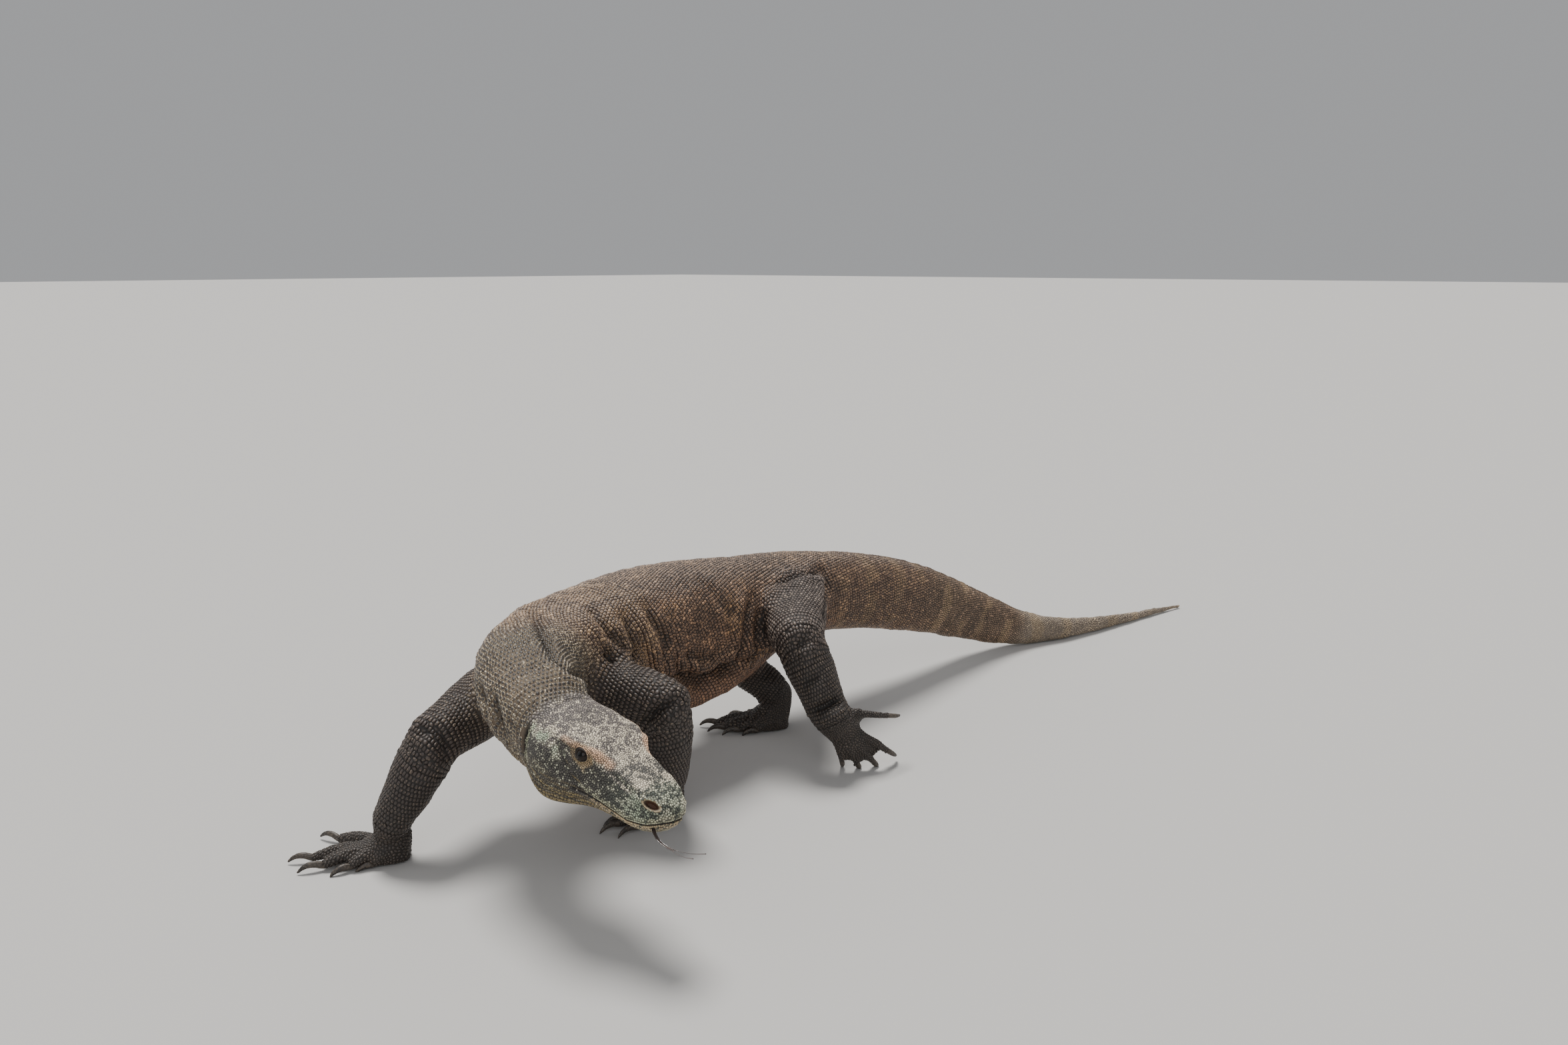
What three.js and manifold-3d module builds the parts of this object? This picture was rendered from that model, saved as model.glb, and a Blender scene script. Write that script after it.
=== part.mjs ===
// A life-size Komodo dragon, walking, as a still museum model.
// Millimetres, +Z up. The trunk lies along Y with the shoulders towards -Y, +X is the animal's left.
// The right forefoot is planted ahead, the left hind foot swings forward with only its toes down,
// and the neck bends a quarter turn to the left, so the head faces +X.
import * as THREE from "three";
import { mergeVertices } from "three/addons/utils/BufferGeometryUtils.js";
import Module from "manifold-3d";

const wasm = await Module();
wasm.setup();

// Driving dimensions
const GAP = 0.4; // clearance between neighbouring pieces
const HEAD_LENGTH = 234; // back of the skull to the tip of the snout
const EYE_RADIUS = 11;
const TRUNK_SIDES = 22;
const TAIL_SIDES = 14;
const HEAD_SIDES = 20;
const LIMB_SIDES = 12;
const TOE_SIDES = 6;
const TOE_STEPS = 5;
const CLAW_SIDES = 6;

// Colours of the hide, the horn and the soft parts
const hide = new THREE.MeshStandardMaterial({ color: 0x5c5048, roughness: 0.8, metalness: 0 });
const headHide = new THREE.MeshStandardMaterial({ color: 0x6b6a60, roughness: 0.75, metalness: 0 });
const horn = new THREE.MeshStandardMaterial({ color: 0x1d1a18, roughness: 0.45, metalness: 0 });
const eyeball = new THREE.MeshStandardMaterial({ color: 0x2a160d, roughness: 0.1, metalness: 0 });
const wetSkin = new THREE.MeshStandardMaterial({ color: 0x3a2c2c, roughness: 0.4, metalness: 0 });

// The spine from the back of the skull to the tip of the tail. Each station has its place, and the
// half width and the heights above and below the spine of the body there.
const spine = {
  insideSkull: { at: [192, -617, 241], size: [52, 38, 62] },
  skull: { at: [134, -616, 256], size: [60, 46, 84] },
  nape: { at: [78, -608, 275], size: [61, 49, 92] },
  neck: { at: [6, -580, 286], size: [68, 60, 98] },
  neckRoot: { at: [-54, -522, 284], size: [82, 68, 102] },
  shoulders: { at: [-88, -442, 276], size: [98, 82, 98] },
  ribs: { at: [-102, -330, 268], size: [104, 98, 122] },
  belly: { at: [-106, -210, 260], size: [110, 106, 152] },
  flank: { at: [-106, -80, 252], size: [106, 100, 150] },
  hips: { at: [-102, 60, 248], size: [86, 88, 98] },
  tailBase: { at: [-88, 180, 240], size: [74, 82, 78] },
  tailRoot: { at: [-66, 330, 212], size: [60, 80, 74] },
  tailUpper: { at: [-44, 500, 164], size: [46, 73, 70] },
  tailMiddle: { at: [-20, 670, 98], size: [35, 58, 58] },
  tailLanding: { at: [22, 810, 45], size: [25, 39, 45] },
  tailLower: { at: [80, 930, 27], size: [18, 25, 28] },
  tailThin: { at: [118, 1060, 18], size: [13, 17, 19] },
  tailEnd: { at: [150, 1200, 11], size: [8.5, 11, 12] },
  tailTip: { at: [188, 1362, 6], size: [4, 4, 6.5] },
};

// The head in its own frame: x forward from the back of the skull, y left, z up.
const headPlace = { at: [126, -617, 257], roll: -6, pitch: 13, yaw: -2 };
const headStations = [
  { x: 0, size: [61, 47, 88], power: 2.2 },
  { x: 30, size: [68, 50, 91], power: 2.3 },
  { x: 65, size: [67, 48, 78], power: 2.4 },
  { x: 98, size: [57, 43, 63], power: 2.4 },
  { x: 125, size: [49, 36, 54], power: 2.4 },
  { x: 155, size: [43, 29, 51], power: 2.4 },
  { x: 185, size: [40, 24, 47], power: 2.4 },
  { x: 210, size: [35, 19, 40], power: 2.3 },
  { x: 226, size: [26, 12, 28], power: 2.2 },
  { x: 234, size: [13, 3, 20], power: 2 },
];
const mouthLine = [
  [244, -9],
  [230, -11],
  [212, -21],
  [182, -29],
  [150, -27],
  [118, -24],
  [90, -26],
  [66, -33],
];
const jawHinge = [30, -120];
const eyePlace = [100, 46, 22];
const nostrilPlace = [213, 25, 8];
const earPlace = [5, 60, -7];

const foreSizes = {
  upper: [[0, 58, 60], [0.4, 50, 54], [1, 41, 42]],
  lower: [[0, 42, 40], [0.35, 47, 41], [0.7, 42, 36], [1, 34, 29]],
};
const hindSizes = {
  upper: [[0, 68, 70], [0.4, 62, 62], [1, 47, 46]],
  lower: [[0, 46, 44], [0.35, 47, 43], [0.7, 42, 38], [1, 36, 32]],
};
// Palm and sole: distance ahead of the ankle, half width and height.
const palmStations = [
  [-24, 11, 16],
  [-19, 22, 30],
  [-4, 29, 46],
  [14, 31, 44],
  [32, 31, 31],
  [48, 26, 20],
  [56, 16, 12],
];
// Toes from the inner one outwards: angle from the foot's heading, knuckle, length, and thickness.
const foreToes = [
  { angle: -16, from: [0, -21], length: 26, radius: 10 },
  { angle: -24, from: [22, -17], length: 38, radius: 10 },
  { angle: -11, from: [34, -10], length: 66, radius: 10.5 },
  { angle: 2, from: [38, 3], length: 80, radius: 10 },
  { angle: 32, from: [16, 19], length: 88, radius: 9.5 },
];
// The left forefoot carries little weight, so its toes are drawn in.
const flexedToes = foreToes.map(({ angle, length, ...toe }) => {
  return { ...toe, angle: angle * 0.3, length: length * 0.64 };
});
const hindToes = [
  { angle: -8, from: [4, -25], length: 36, radius: 10 },
  { angle: -5, from: [22, -19], length: 50, radius: 10.5 },
  { angle: -1, from: [34, -8], length: 62, radius: 11 },
  { angle: 9, from: [38, 6], length: 70, radius: 11 },
  { angle: 34, from: [8, 20], length: 56, radius: 9.5 },
];
const trailingToes = [
  { angle: -24, from: [26, -18], length: 52, radius: 10 },
  { angle: -12, from: [34, -12], length: 66, radius: 10.5 },
  { angle: -1, from: [38, -3], length: 78, radius: 11 },
  { angle: 11, from: [36, 9], length: 90, radius: 11 },
  { angle: 34, from: [8, 20], length: 92, radius: 9.5 },
];
// Share of the toe's length and height of its middle above the floor, less its own thickness.
const toeArch = [
  [-0.2, 8],
  [0.2, 11],
  [0.55, 8],
  [0.86, 1],
  [1, -2],
];
const toeDroop = [
  [-0.2, 8],
  [0.25, 8],
  [0.6, 4],
  [0.85, -4],
  [1, -12],
];

// Limbs: the joints of each, and the half width and half thickness along each length.
const limbs = {
  fore_right: {
    joints: { root: [-146, -512, 215], bend: [-122, -650, 188], end: [-158, -706, 70] },
    foot: { at: [-172, -700, 0], turn: [0, 0, -130], toes: foreToes, outer: -1, planted: true },
    hind: false,
  },
  fore_left: {
    joints: { root: [-20, -424, 226], bend: [88, -390, 219], end: [44, -346, 62] },
    foot: { at: [34, -333, 0], turn: [0, 0, -106], toes: flexedToes, outer: 1, planted: true },
    hind: false,
  },
  hind_left: {
    joints: { root: [-50, 80, 250], bend: [70, -46, 236], end: [137, -41, 107] },
    foot: { at: [123, -28, 102], turn: [78, 46, 44], toes: trailingToes, outer: 1, planted: false },
    hind: true,
  },
  hind_right: {
    joints: { root: [-140, 85, 240], bend: [-196, -10, 186], end: [-82, 62, 76] },
    foot: { at: [-78, 66, 0], turn: [0, 0, -130], toes: hindToes, outer: -1, planted: true },
    hind: true,
  },
};

const vector = (p) => new THREE.Vector3(...p);
const up = new THREE.Vector3(0, 0, 1);

// A closed mesh whose shared vertices are merged, as a solid.
function solidFrom(geometry) {
  const bare = geometry.clone();
  bare.deleteAttribute("normal");
  bare.deleteAttribute("uv");
  const merged = mergeVertices(bare, 1e-4);
  return new wasm.Manifold(
    new wasm.Mesh({
      numProp: 3,
      vertProperties: merged.attributes.position.array,
      triVerts: new Uint32Array(merged.index.array),
    }),
  );
}

function geometryFrom(solid) {
  const mesh = solid.getMesh();
  return new THREE.BufferGeometry()
    .setAttribute("position", new THREE.BufferAttribute(mesh.vertProperties, 3))
    .setIndex(new THREE.BufferAttribute(mesh.triVerts, 1));
}

// The largest body of a solid, which drops the crumbs that a cut leaves.
function largest(solid) {
  return solid.decompose().sort((a, b) => b.volume() - a.volume())[0];
}

// One closed ring round a point: a superellipse with its own height above and below the centre.
function ring(centre, side, rise, [wide, top, bottom], count, power = 2.2) {
  return Array.from({ length: count }, (_, i) => {
    const angle = (i / count) * 2 * Math.PI;
    const c = Math.cos(angle);
    const s = Math.sin(angle);
    const across = Math.sign(c) * Math.abs(c) ** (2 / power) * wide;
    const height = Math.sign(s) * Math.abs(s) ** (2 / power) * (s > 0 ? top : bottom);
    return centre.clone().addScaledVector(side, across).addScaledVector(rise, height);
  });
}

// A solid skinned over a row of rings, closed with a flat fan at each end.
function loft(rings) {
  const count = rings[0].length;
  const points = rings.flat();
  const faces = [];
  for (let r = 0; r + 1 < rings.length; r++) {
    for (let i = 0; i < count; i++) {
      const a = r * count + i;
      const b = r * count + ((i + 1) % count);
      faces.push(a, b, b + count, a, b + count, a + count);
    }
  }
  const middle = (ringPoints) =>
    ringPoints.reduce((sum, p) => sum.add(p), new THREE.Vector3()).divideScalar(count);
  points.push(middle(rings[0]), middle(rings.at(-1)));
  const last = (rings.length - 1) * count;
  for (let i = 0; i < count; i++) {
    const next = (i + 1) % count;
    faces.push(next, i, points.length - 2, last + i, last + next, points.length - 1);
  }
  const geometry = new THREE.BufferGeometry().setFromPoints(points).setIndex(faces);
  const solid = solidFrom(geometry);
  return solid.volume() > 0 ? solid : solidFrom(flipped(geometry));
}

function flipped(geometry) {
  const index = geometry.index.array;
  for (let i = 0; i < index.length; i += 3) {
    [index[i], index[i + 1]] = [index[i + 1], index[i]];
  }
  return geometry;
}

// The directions to the side of and above a line that runs along the given direction.
function across(direction, hint = up) {
  const side = new THREE.Vector3().crossVectors(direction, hint).normalize();
  return { side, rise: new THREE.Vector3().crossVectors(side, direction).normalize() };
}

const names = Object.keys(spine);
const spineLine = new THREE.CatmullRomCurve3(names.map((n) => vector(spine[n].at)));
const spineSize = new THREE.CatmullRomCurve3(names.map((n) => vector(spine[n].size)));

// The body between two stations of the spine, with as many steps from one station to the next.
function body(from, to, { sides = TRUNK_SIDES, steps = 2, grow = 0, inset = 0 } = {}) {
  const first = names.indexOf(from);
  const last = names.indexOf(to);
  const span = names.length - 1;
  const total = (last - first) * steps;
  const rings = [];
  for (let i = 0; i <= total; i++) {
    const t = (first + i / steps) / span;
    const tangent = spineLine.getTangent(t);
    const centre = spineLine.getPoint(t);
    if (i === 0) centre.addScaledVector(tangent, inset);
    if (i === total) centre.addScaledVector(tangent, -inset);
    const { side, rise } = across(tangent);
    const size = spineSize.getPoint(t).addScalar(grow).toArray();
    rings.push(ring(centre, side, rise, size, sides));
  }
  return loft(rings);
}

// A straight length of limb with a round end at each joint.
function limbLength(from, to, sizes, { grow = 0, hint = up, sides = LIMB_SIDES } = {}) {
  const start = vector(from);
  const end = vector(to);
  const direction = end.clone().sub(start).normalize();
  const { side, rise } = across(direction, hint);
  const rings = [];
  const dome = (centre, [, wide, thick], sense) =>
    [0.98, 0.8, 0.5].map((reach) => {
      const share = Math.sqrt(1 - reach * reach);
      const place = centre.clone().addScaledVector(direction, sense * reach * (thick + grow));
      const size = [(wide + grow) * share, (thick + grow) * share, (thick + grow) * share];
      return ring(place, side, rise, size, sides, 2);
    });
  rings.push(...dome(start, sizes[0], -1));
  for (const [t, wide, thick] of sizes) {
    const size = [wide + grow, thick + grow, thick + grow];
    rings.push(ring(start.clone().lerp(end, t), side, rise, size, sides, 2));
  }
  rings.push(...dome(end, sizes.at(-1), 1).reverse());
  return loft(rings);
}

const ball = (radius, sides = 10) =>
  solidFrom(new THREE.SphereGeometry(radius, sides, Math.round(sides * 0.7)));
const block = (x, y, z) => solidFrom(new THREE.BoxGeometry(x, y, z));
const frameOf = (place, turn = [0, 0, 0]) =>
  new THREE.Matrix4()
    .makeRotationFromEuler(new THREE.Euler(...turn.map(THREE.MathUtils.degToRad), "ZYX"))
    .setPosition(vector(place));
const moved = (solid, matrix) => solid.transform(matrix.elements);

// The head, whole, in its own frame.
function headForm() {
  const forward = new THREE.Vector3(1, 0, 0);
  const { side, rise } = across(forward);
  const line = new THREE.CatmullRomCurve3(headStations.map((s) => vector([s.x, s.power, 0])));
  const size = new THREE.CatmullRomCurve3(headStations.map((s) => vector(s.size)));
  const steps = (headStations.length - 1) * 2;
  const rings = [];
  for (let i = 0; i <= steps; i++) {
    const { x, y: power } = line.getPoint(i / steps);
    const sizes = size.getPoint(i / steps).toArray();
    rings.push(ring(vector([x, 0, 0]), side, rise, sizes, HEAD_SIDES, power));
  }
  let form = loft(rings);
  for (const s of [1, -1]) {
    const [x, y, z] = eyePlace;
    const brow = swelling([34, 11, 9], [x - 2, s * (y - 3), z + 10], [0, 8, -s * 14]);
    const jawMuscle = swelling([38, 16, 30], [42, s * 54, -2], [0, 0, -s * 6]);
    const snoutSide = swelling([22, 14, 15], [200, s * 22, 1], [0, 12, -s * 10]);
    form = form.add(brow).add(jawMuscle).add(snoutSide);
  }
  return form;
}

// An ellipsoid of the given half sizes, to add to a form or to hollow it.
function swelling(size, place, turn) {
  return moved(ball(1).scale(size), frameOf(place, turn));
}

// What the eyes, the nostrils and the ears take out of one side of the head.
function headHollows(s) {
  const [x, y, z] = nostrilPlace;
  const eyeFrame = frameOf([eyePlace[0], s * eyePlace[1], eyePlace[2]]);
  const socket = moved(ball(EYE_RADIUS + GAP, 12), eyeFrame);
  const nostril = swelling([8, 9, 5], [x, s * (y + 5), z], [0, 25, s * 20]);
  const ear = swelling([4.5, 10, 20], [earPlace[0], s * (earPlace[1] + 3), earPlace[2]]);
  return socket.add(nostril).add(ear);
}

// A thin wall, across the whole head, that follows the mouth and then drops behind the jaw.
function mouthCut() {
  const upperEdge = [...mouthLine, jawHinge];
  const lowerEdge = upperEdge.map(([x, z]) => [x + GAP, z - GAP]).reverse();
  const shape = new THREE.Shape([...upperEdge, ...lowerEdge].map(([x, z]) => new THREE.Vector2(x, z)));
  const geometry = new THREE.ExtrudeGeometry(shape, { depth: HEAD_LENGTH, bevelEnabled: false });
  geometry.rotateX(Math.PI / 2).translate(0, HEAD_LENGTH / 2, 0);
  return solidFrom(geometry);
}

// The tongue, out of the front of the mouth, forked at its tip, in the head's frame.
function tongueForm(grow = 0) {
  const root = new THREE.CatmullRomCurve3(
    [
      [198, -10, -23],
      [212, -18, -22],
      [222, -24, -23],
      [232, -27, -28],
      [248, -27, -29],
      [262, -27, -27],
    ].map(vector),
  );
  const tine = (s) =>
    new THREE.CatmullRomCurve3(
      [
        [259, -27 + s, -27],
        [272, -27 + s * 4, -25],
        [288, -27 + s * 8, -19],
        [304, -27 + s * 11, -10],
      ].map(vector),
    );
  const strap = (curve, sizes, steps) => {
    const rings = [];
    for (let i = 0; i <= steps; i++) {
      const share = i / steps;
      const { side, rise } = across(curve.getTangent(share));
      const wide = sizes[0] + (sizes[1] - sizes[0]) * share + grow;
      const thick = sizes[2] + (sizes[3] - sizes[2]) * share + grow;
      rings.push(ring(curve.getPoint(share), side, rise, [wide, thick, thick], TOE_SIDES, 2));
    }
    return loft(rings);
  };
  return strap(root, [4.2, 3.4, 1.5, 1.4], 6)
    .add(strap(tine(1), [1.9, 0.5, 1.4, 0.4], 4))
    .add(strap(tine(-1), [1.9, 0.5, 1.4, 0.4], 4));
}

// A foot in its own frame: x forward, y left, z up, the ankle above the origin and the sole at z = 0.
function footForm({ toes, outer, planted }, hind, ankleHeight) {
  const scale = hind ? 1.06 : 0.96;
  const { side, rise } = across(new THREE.Vector3(1, 0, 0));
  const palm = loft(
    palmStations.map(([x, wide, high]) =>
      ring(vector([x * scale, 0, 9]), side, rise, [wide * scale, high * scale, 12], LIMB_SIDES, 2.2),
    ),
  );
  let flesh = palm;
  if (planted) {
    const wrist = [
      [0, 28 * scale, 27 * scale],
      [1, 30 * scale, 27 * scale],
    ];
    const hint = new THREE.Vector3(0, 1, 0);
    flesh = flesh.add(limbLength([0, 0, 22], [0, 0, ankleHeight], wrist, { hint }));
  }
  const claws = [];
  toes.forEach(({ angle, from, length, radius }) => {
    const turn = THREE.MathUtils.degToRad(angle * outer);
    const out = new THREE.Vector3(Math.cos(turn), Math.sin(turn), 0);
    const knuckle = new THREE.Vector3(from[0] * scale, from[1] * outer * scale, 0);
    const heights = planted ? toeArch : toeDroop;
    const places = heights.map(([share, height]) =>
      knuckle.clone().addScaledVector(out, length * share).setZ(radius + height),
    );
    const curve = new THREE.CatmullRomCurve3(places);
    const rings = [];
    for (let k = 0; k <= TOE_STEPS; k++) {
      const share = k / TOE_STEPS;
      const { side: s, rise: r } = across(curve.getTangent(share));
      const size = radius * (1 + 0.07 * Math.cos(share * 4 * Math.PI)) * (1 - 0.3 * share);
      rings.push(ring(curve.getPoint(share), s, r, [size, size, size], TOE_SIDES, 2));
    }
    flesh = flesh.add(loft(rings));
    claws.push([curve.getPoint(1), curve.getTangent(1), radius * 0.66, hind ? 36 : 38, planted]);
  });
  for (const claw of claws) {
    flesh = flesh.subtract(clawForm(...claw, GAP));
  }
  return { flesh, claws: claws.map((claw) => clawForm(...claw)) };
}

// A hooked claw that leaves the end of a toe and curls down to a point.
function clawForm(root, direction, radius, length, planted, grow = 0) {
  const out = direction.clone().setZ(0).normalize();
  const first = Math.asin(THREE.MathUtils.clamp(-direction.z, -1, 1));
  const [rear, curl] = planted ? [0.75, 1.5] : [0.2, 0.9];
  const steps = 5;
  const rings = [];
  const place = root.clone().addScaledVector(direction, GAP - grow);
  for (let i = 0; i <= steps; i++) {
    const share = i / steps;
    const angle = first - rear + curl * share;
    const heading = out.clone().multiplyScalar(Math.cos(angle)).setZ(-Math.sin(angle));
    const { side, rise } = across(i ? heading : direction);
    const size = radius * (1 - 0.84 * share) + grow;
    rings.push(ring(place.clone(), side, rise, [size * 0.8, size, size], CLAW_SIDES, 2));
    place.addScaledVector(heading, length / steps);
  }
  return loft(rings);
}

// Assembly
const dragon = new THREE.Group();
const earth = block(4000, 4000, 400).translate([0, 0, -200]);

// Adds the largest body of a solid to a group, as a mesh in that group's own frame.
function add(group, name, solid, material) {
  group.updateWorldMatrix(true, false);
  const local = moved(largest(solid), group.matrixWorld.clone().invert());
  const mesh = new THREE.Mesh(geometryFrom(local), material);
  mesh.name = name;
  group.add(mesh);
}

function groupAt(matrix) {
  const group = new THREE.Group();
  matrix.decompose(group.position, group.quaternion, group.scale);
  dragon.add(group);
  return group;
}

// Limbs: the upper length stops at the trunk, the lower one at the upper one, and the foot at that.
const trunkGrown = body("skull", "tailRoot", { grow: GAP });
for (const [name, { joints, foot, hind }] of Object.entries(limbs)) {
  const sideName = name.split("_")[1];
  const sizes = hind ? hindSizes : foreSizes;
  const upperSpan = [joints.root, joints.bend, sizes.upper];
  const lowerSpan = [joints.bend, joints.end, sizes.lower];
  const upperGrown = limbLength(...upperSpan, { grow: GAP });
  const lowerGrown = limbLength(...lowerSpan, { grow: GAP });
  const upper = limbLength(...upperSpan).subtract(trunkGrown);
  const lower = limbLength(...lowerSpan).subtract(upperGrown).subtract(trunkGrown);
  add(dragon, (hind ? "thigh_" : "upper_arm_") + sideName, upper, hide);
  add(dragon, (hind ? "shank_" : "forearm_") + sideName, lower, hide);

  const footFrame = frameOf(foot.at, foot.turn);
  const footGroup = groupAt(footFrame);
  const { flesh, claws } = footForm(foot, hind, joints.end[2] - 8);
  const sole = moved(flesh, footFrame).subtract(lowerGrown).subtract(earth);
  const prefix = hind ? "hind" : "fore";
  add(footGroup, prefix + "_foot_" + sideName, sole, hide);
  claws.forEach((claw, i) => {
    const clawName = ["claw", prefix, sideName, i + 1].join("_");
    add(footGroup, clawName, moved(claw, footFrame).subtract(earth), horn);
  });
}

// Head, jaw, tongue and eyes
const headFrame = frameOf(headPlace.at, [headPlace.roll, headPlace.pitch, headPlace.yaw]);
const headGroup = groupAt(headFrame);
const tongueRoom = tongueForm(GAP);
const [skull, jaw] = headForm()
  .subtract(headHollows(1))
  .subtract(headHollows(-1))
  .subtract(mouthCut())
  .decompose()
  .sort((a, b) => b.volume() - a.volume());
add(headGroup, "head", moved(skull.subtract(tongueRoom), headFrame), headHide);
add(headGroup, "lower_jaw", moved(jaw.subtract(tongueRoom), headFrame), headHide);
add(headGroup, "tongue", moved(tongueForm(), headFrame), wetSkin);
for (const [sideName, s] of [["left", 1], ["right", -1]]) {
  const eye = new THREE.Mesh(new THREE.SphereGeometry(EYE_RADIUS, 12, 8), eyeball);
  eye.name = "eye_" + sideName;
  eye.position.set(eyePlace[0], s * eyePlace[1], eyePlace[2]);
  headGroup.add(eye);
}

// Neck, trunk and tail
const aheadOfNeck = moved(block(600, 600, 600).translate([300 - GAP, 0, 0]), headFrame);
const lengths = {
  neck: ["insideSkull", "neckRoot", TRUNK_SIDES],
  trunk_front: ["neckRoot", "ribs", TRUNK_SIDES],
  trunk_belly: ["ribs", "flank", TRUNK_SIDES],
  trunk_hips: ["flank", "tailBase", TRUNK_SIDES],
  tail_root: ["tailBase", "tailUpper", TAIL_SIDES],
  tail_middle: ["tailUpper", "tailLanding", TAIL_SIDES],
  tail_tip: ["tailLanding", "tailTip", TAIL_SIDES],
};
for (const [name, [from, to, sides]] of Object.entries(lengths)) {
  const length = body(from, to, { sides, inset: GAP / 2 });
  add(dragon, name, length.subtract(name === "neck" ? aheadOfNeck : earth), hide);
}

// The origin is under the middle of the whole animal, on the floor.
const bounds = new THREE.Box3().setFromObject(dragon, true);
const middle = bounds.getCenter(new THREE.Vector3());
const model = new THREE.Group();
dragon.position.set(-middle.x, -middle.y, -bounds.min.z);
model.add(dragon);

export default model;
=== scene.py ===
import functools
import math

import bmesh
import bpy
import numpy as np
from mathutils import Euler, Matrix, Vector
from mathutils.bvhtree import BVHTree
from mathutils.kdtree import KDTree


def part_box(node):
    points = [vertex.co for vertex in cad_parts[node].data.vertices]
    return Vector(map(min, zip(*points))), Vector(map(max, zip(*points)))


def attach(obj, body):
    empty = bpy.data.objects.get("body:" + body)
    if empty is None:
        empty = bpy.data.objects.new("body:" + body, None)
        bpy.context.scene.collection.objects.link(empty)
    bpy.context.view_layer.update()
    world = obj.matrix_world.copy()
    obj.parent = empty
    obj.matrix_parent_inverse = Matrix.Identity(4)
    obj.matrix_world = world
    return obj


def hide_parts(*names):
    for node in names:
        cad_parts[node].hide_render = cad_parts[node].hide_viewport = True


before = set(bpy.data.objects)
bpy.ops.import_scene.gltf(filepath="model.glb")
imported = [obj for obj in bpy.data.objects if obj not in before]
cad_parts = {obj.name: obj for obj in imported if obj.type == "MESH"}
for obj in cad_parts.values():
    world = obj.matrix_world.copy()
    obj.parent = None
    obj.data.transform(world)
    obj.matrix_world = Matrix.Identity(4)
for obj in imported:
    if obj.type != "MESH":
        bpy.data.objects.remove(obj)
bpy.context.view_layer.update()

# A walking Komodo dragon: one skin over all the flesh, a coat of separate scales on it,
# and eyes, claws and a forked tongue of their own. The trunk lies along Y, shoulders towards -Y,
# +X is the animal's left and the head faces +X.

headNodes = ["head", "lower_jaw"]
axialNodes = ["neck", "trunk_front", "trunk_belly", "trunk_hips", "tail_root", "tail_middle", "tail_tip"]
limbNodes = {
    "fore_left": ["upper_arm_left", "forearm_left", "fore_foot_left"],
    "fore_right": ["upper_arm_right", "forearm_right", "fore_foot_right"],
    "hind_left": ["thigh_left", "shank_left", "hind_foot_left"],
    "hind_right": ["thigh_right", "shank_right", "hind_foot_right"],
}
fleshNodes = headNodes + axialNodes + [name for nodes in limbNodes.values() for name in nodes]
ownerIndex = {name: i for i, name in enumerate(fleshNodes)}


def read(data, name, width, kind=np.float32):  # one property of every element, as rows
    flat = np.empty(len(data) * width, kind)
    data.foreach_get(name, flat)
    return flat.reshape(-1, width) if width > 1 else flat


def write(data, name, values, kind=np.float32):
    data.foreach_set(name, np.asarray(values).astype(kind).ravel())


def coordinates(mesh):
    return read(mesh.vertices, "co", 3).astype(float)


def edgesOf(mesh):
    return read(mesh.edges, "vertices", 2, np.int32)


def normalsOf(mesh, co=None):  # the normals of the points, moved to new places first where there are any
    if co is not None:
        write(mesh.vertices, "co", co)
        mesh.update()
    return read(mesh.vertex_normals, "vector", 3).astype(float)


def smoothShaded(mesh):
    write(mesh.polygons, "use_smooth", np.ones(len(mesh.polygons)), bool)


def setTint(mesh, colours):
    full = np.ones((len(mesh.vertices), 4))
    full[:, :colours.shape[1]] = colours
    write(mesh.attributes.new("tint", "FLOAT_COLOR", "POINT").data, "color", full)


def placed(name, data):
    thing = bpy.data.objects.new(name, data)
    bpy.context.scene.collection.objects.link(thing)
    return thing


def applied(thing):  # its mesh with the modifiers applied; the object itself goes
    mesh = bpy.data.meshes.new_from_object(thing.evaluated_get(bpy.context.evaluated_depsgraph_get()))
    bpy.data.objects.remove(thing)
    return mesh


def unit(vectors):
    return vectors / np.maximum(np.linalg.norm(vectors, axis=-1, keepdims=True), 1e-9)


def alongSurface(vectors, normals):  # their directions, without what points out of the surface
    return unit(vectors - normals * (vectors * normals).sum(axis=1)[:, None])


def ramp(value, low, high):
    t = np.clip((value - low) / (high - low), 0, 1)
    return t * t * (3 - 2 * t)


def hump(value, middle, width):  # 1 at the middle, falling away on both sides
    return np.exp(-((value - middle) / width) ** 2)


def waves(distance, apart):
    return np.sin(distance * 2 * math.pi / apart)


def mixed(a, b, share):
    return a + (b - a) * share[:, None]


def cellValue(ix, iy, iz, seed):  # a repeatable number from 0 to 1 for each cell corner
    h = (ix * 374761393 + iy * 668265263 + iz * 1440662683 + seed * 974711) & 0xFFFFFFFF
    h = ((h ^ (h >> 13)) * 1274126177) & 0xFFFFFFFF
    return ((h ^ (h >> 16)) & 0xFFFF) / 65535.0


def softNoise(points, size, seed=0):  # smooth noise from 0 to 1 with blobs of the given size
    q = np.asarray(points) / size
    cell = np.floor(q).astype(np.int64)
    f = q - cell
    f = f * f * (3 - 2 * f)
    total = np.zeros(len(q))
    for corner in range(8):
        d = np.array([corner & 1, corner >> 1 & 1, corner >> 2 & 1])
        weight = np.prod(np.where(d, f, 1 - f), axis=1)
        total += weight * cellValue(*(cell + d).T, seed)
    return total


def linear(hexColour):  # "8a6a4c" to linear red, green and blue
    c = np.array([int(hexColour[i:i + 2], 16) for i in (0, 2, 4)]) / 255
    return np.where(c <= 0.04045, c / 12.92, ((c + 0.055) / 1.055) ** 2.4)


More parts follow.
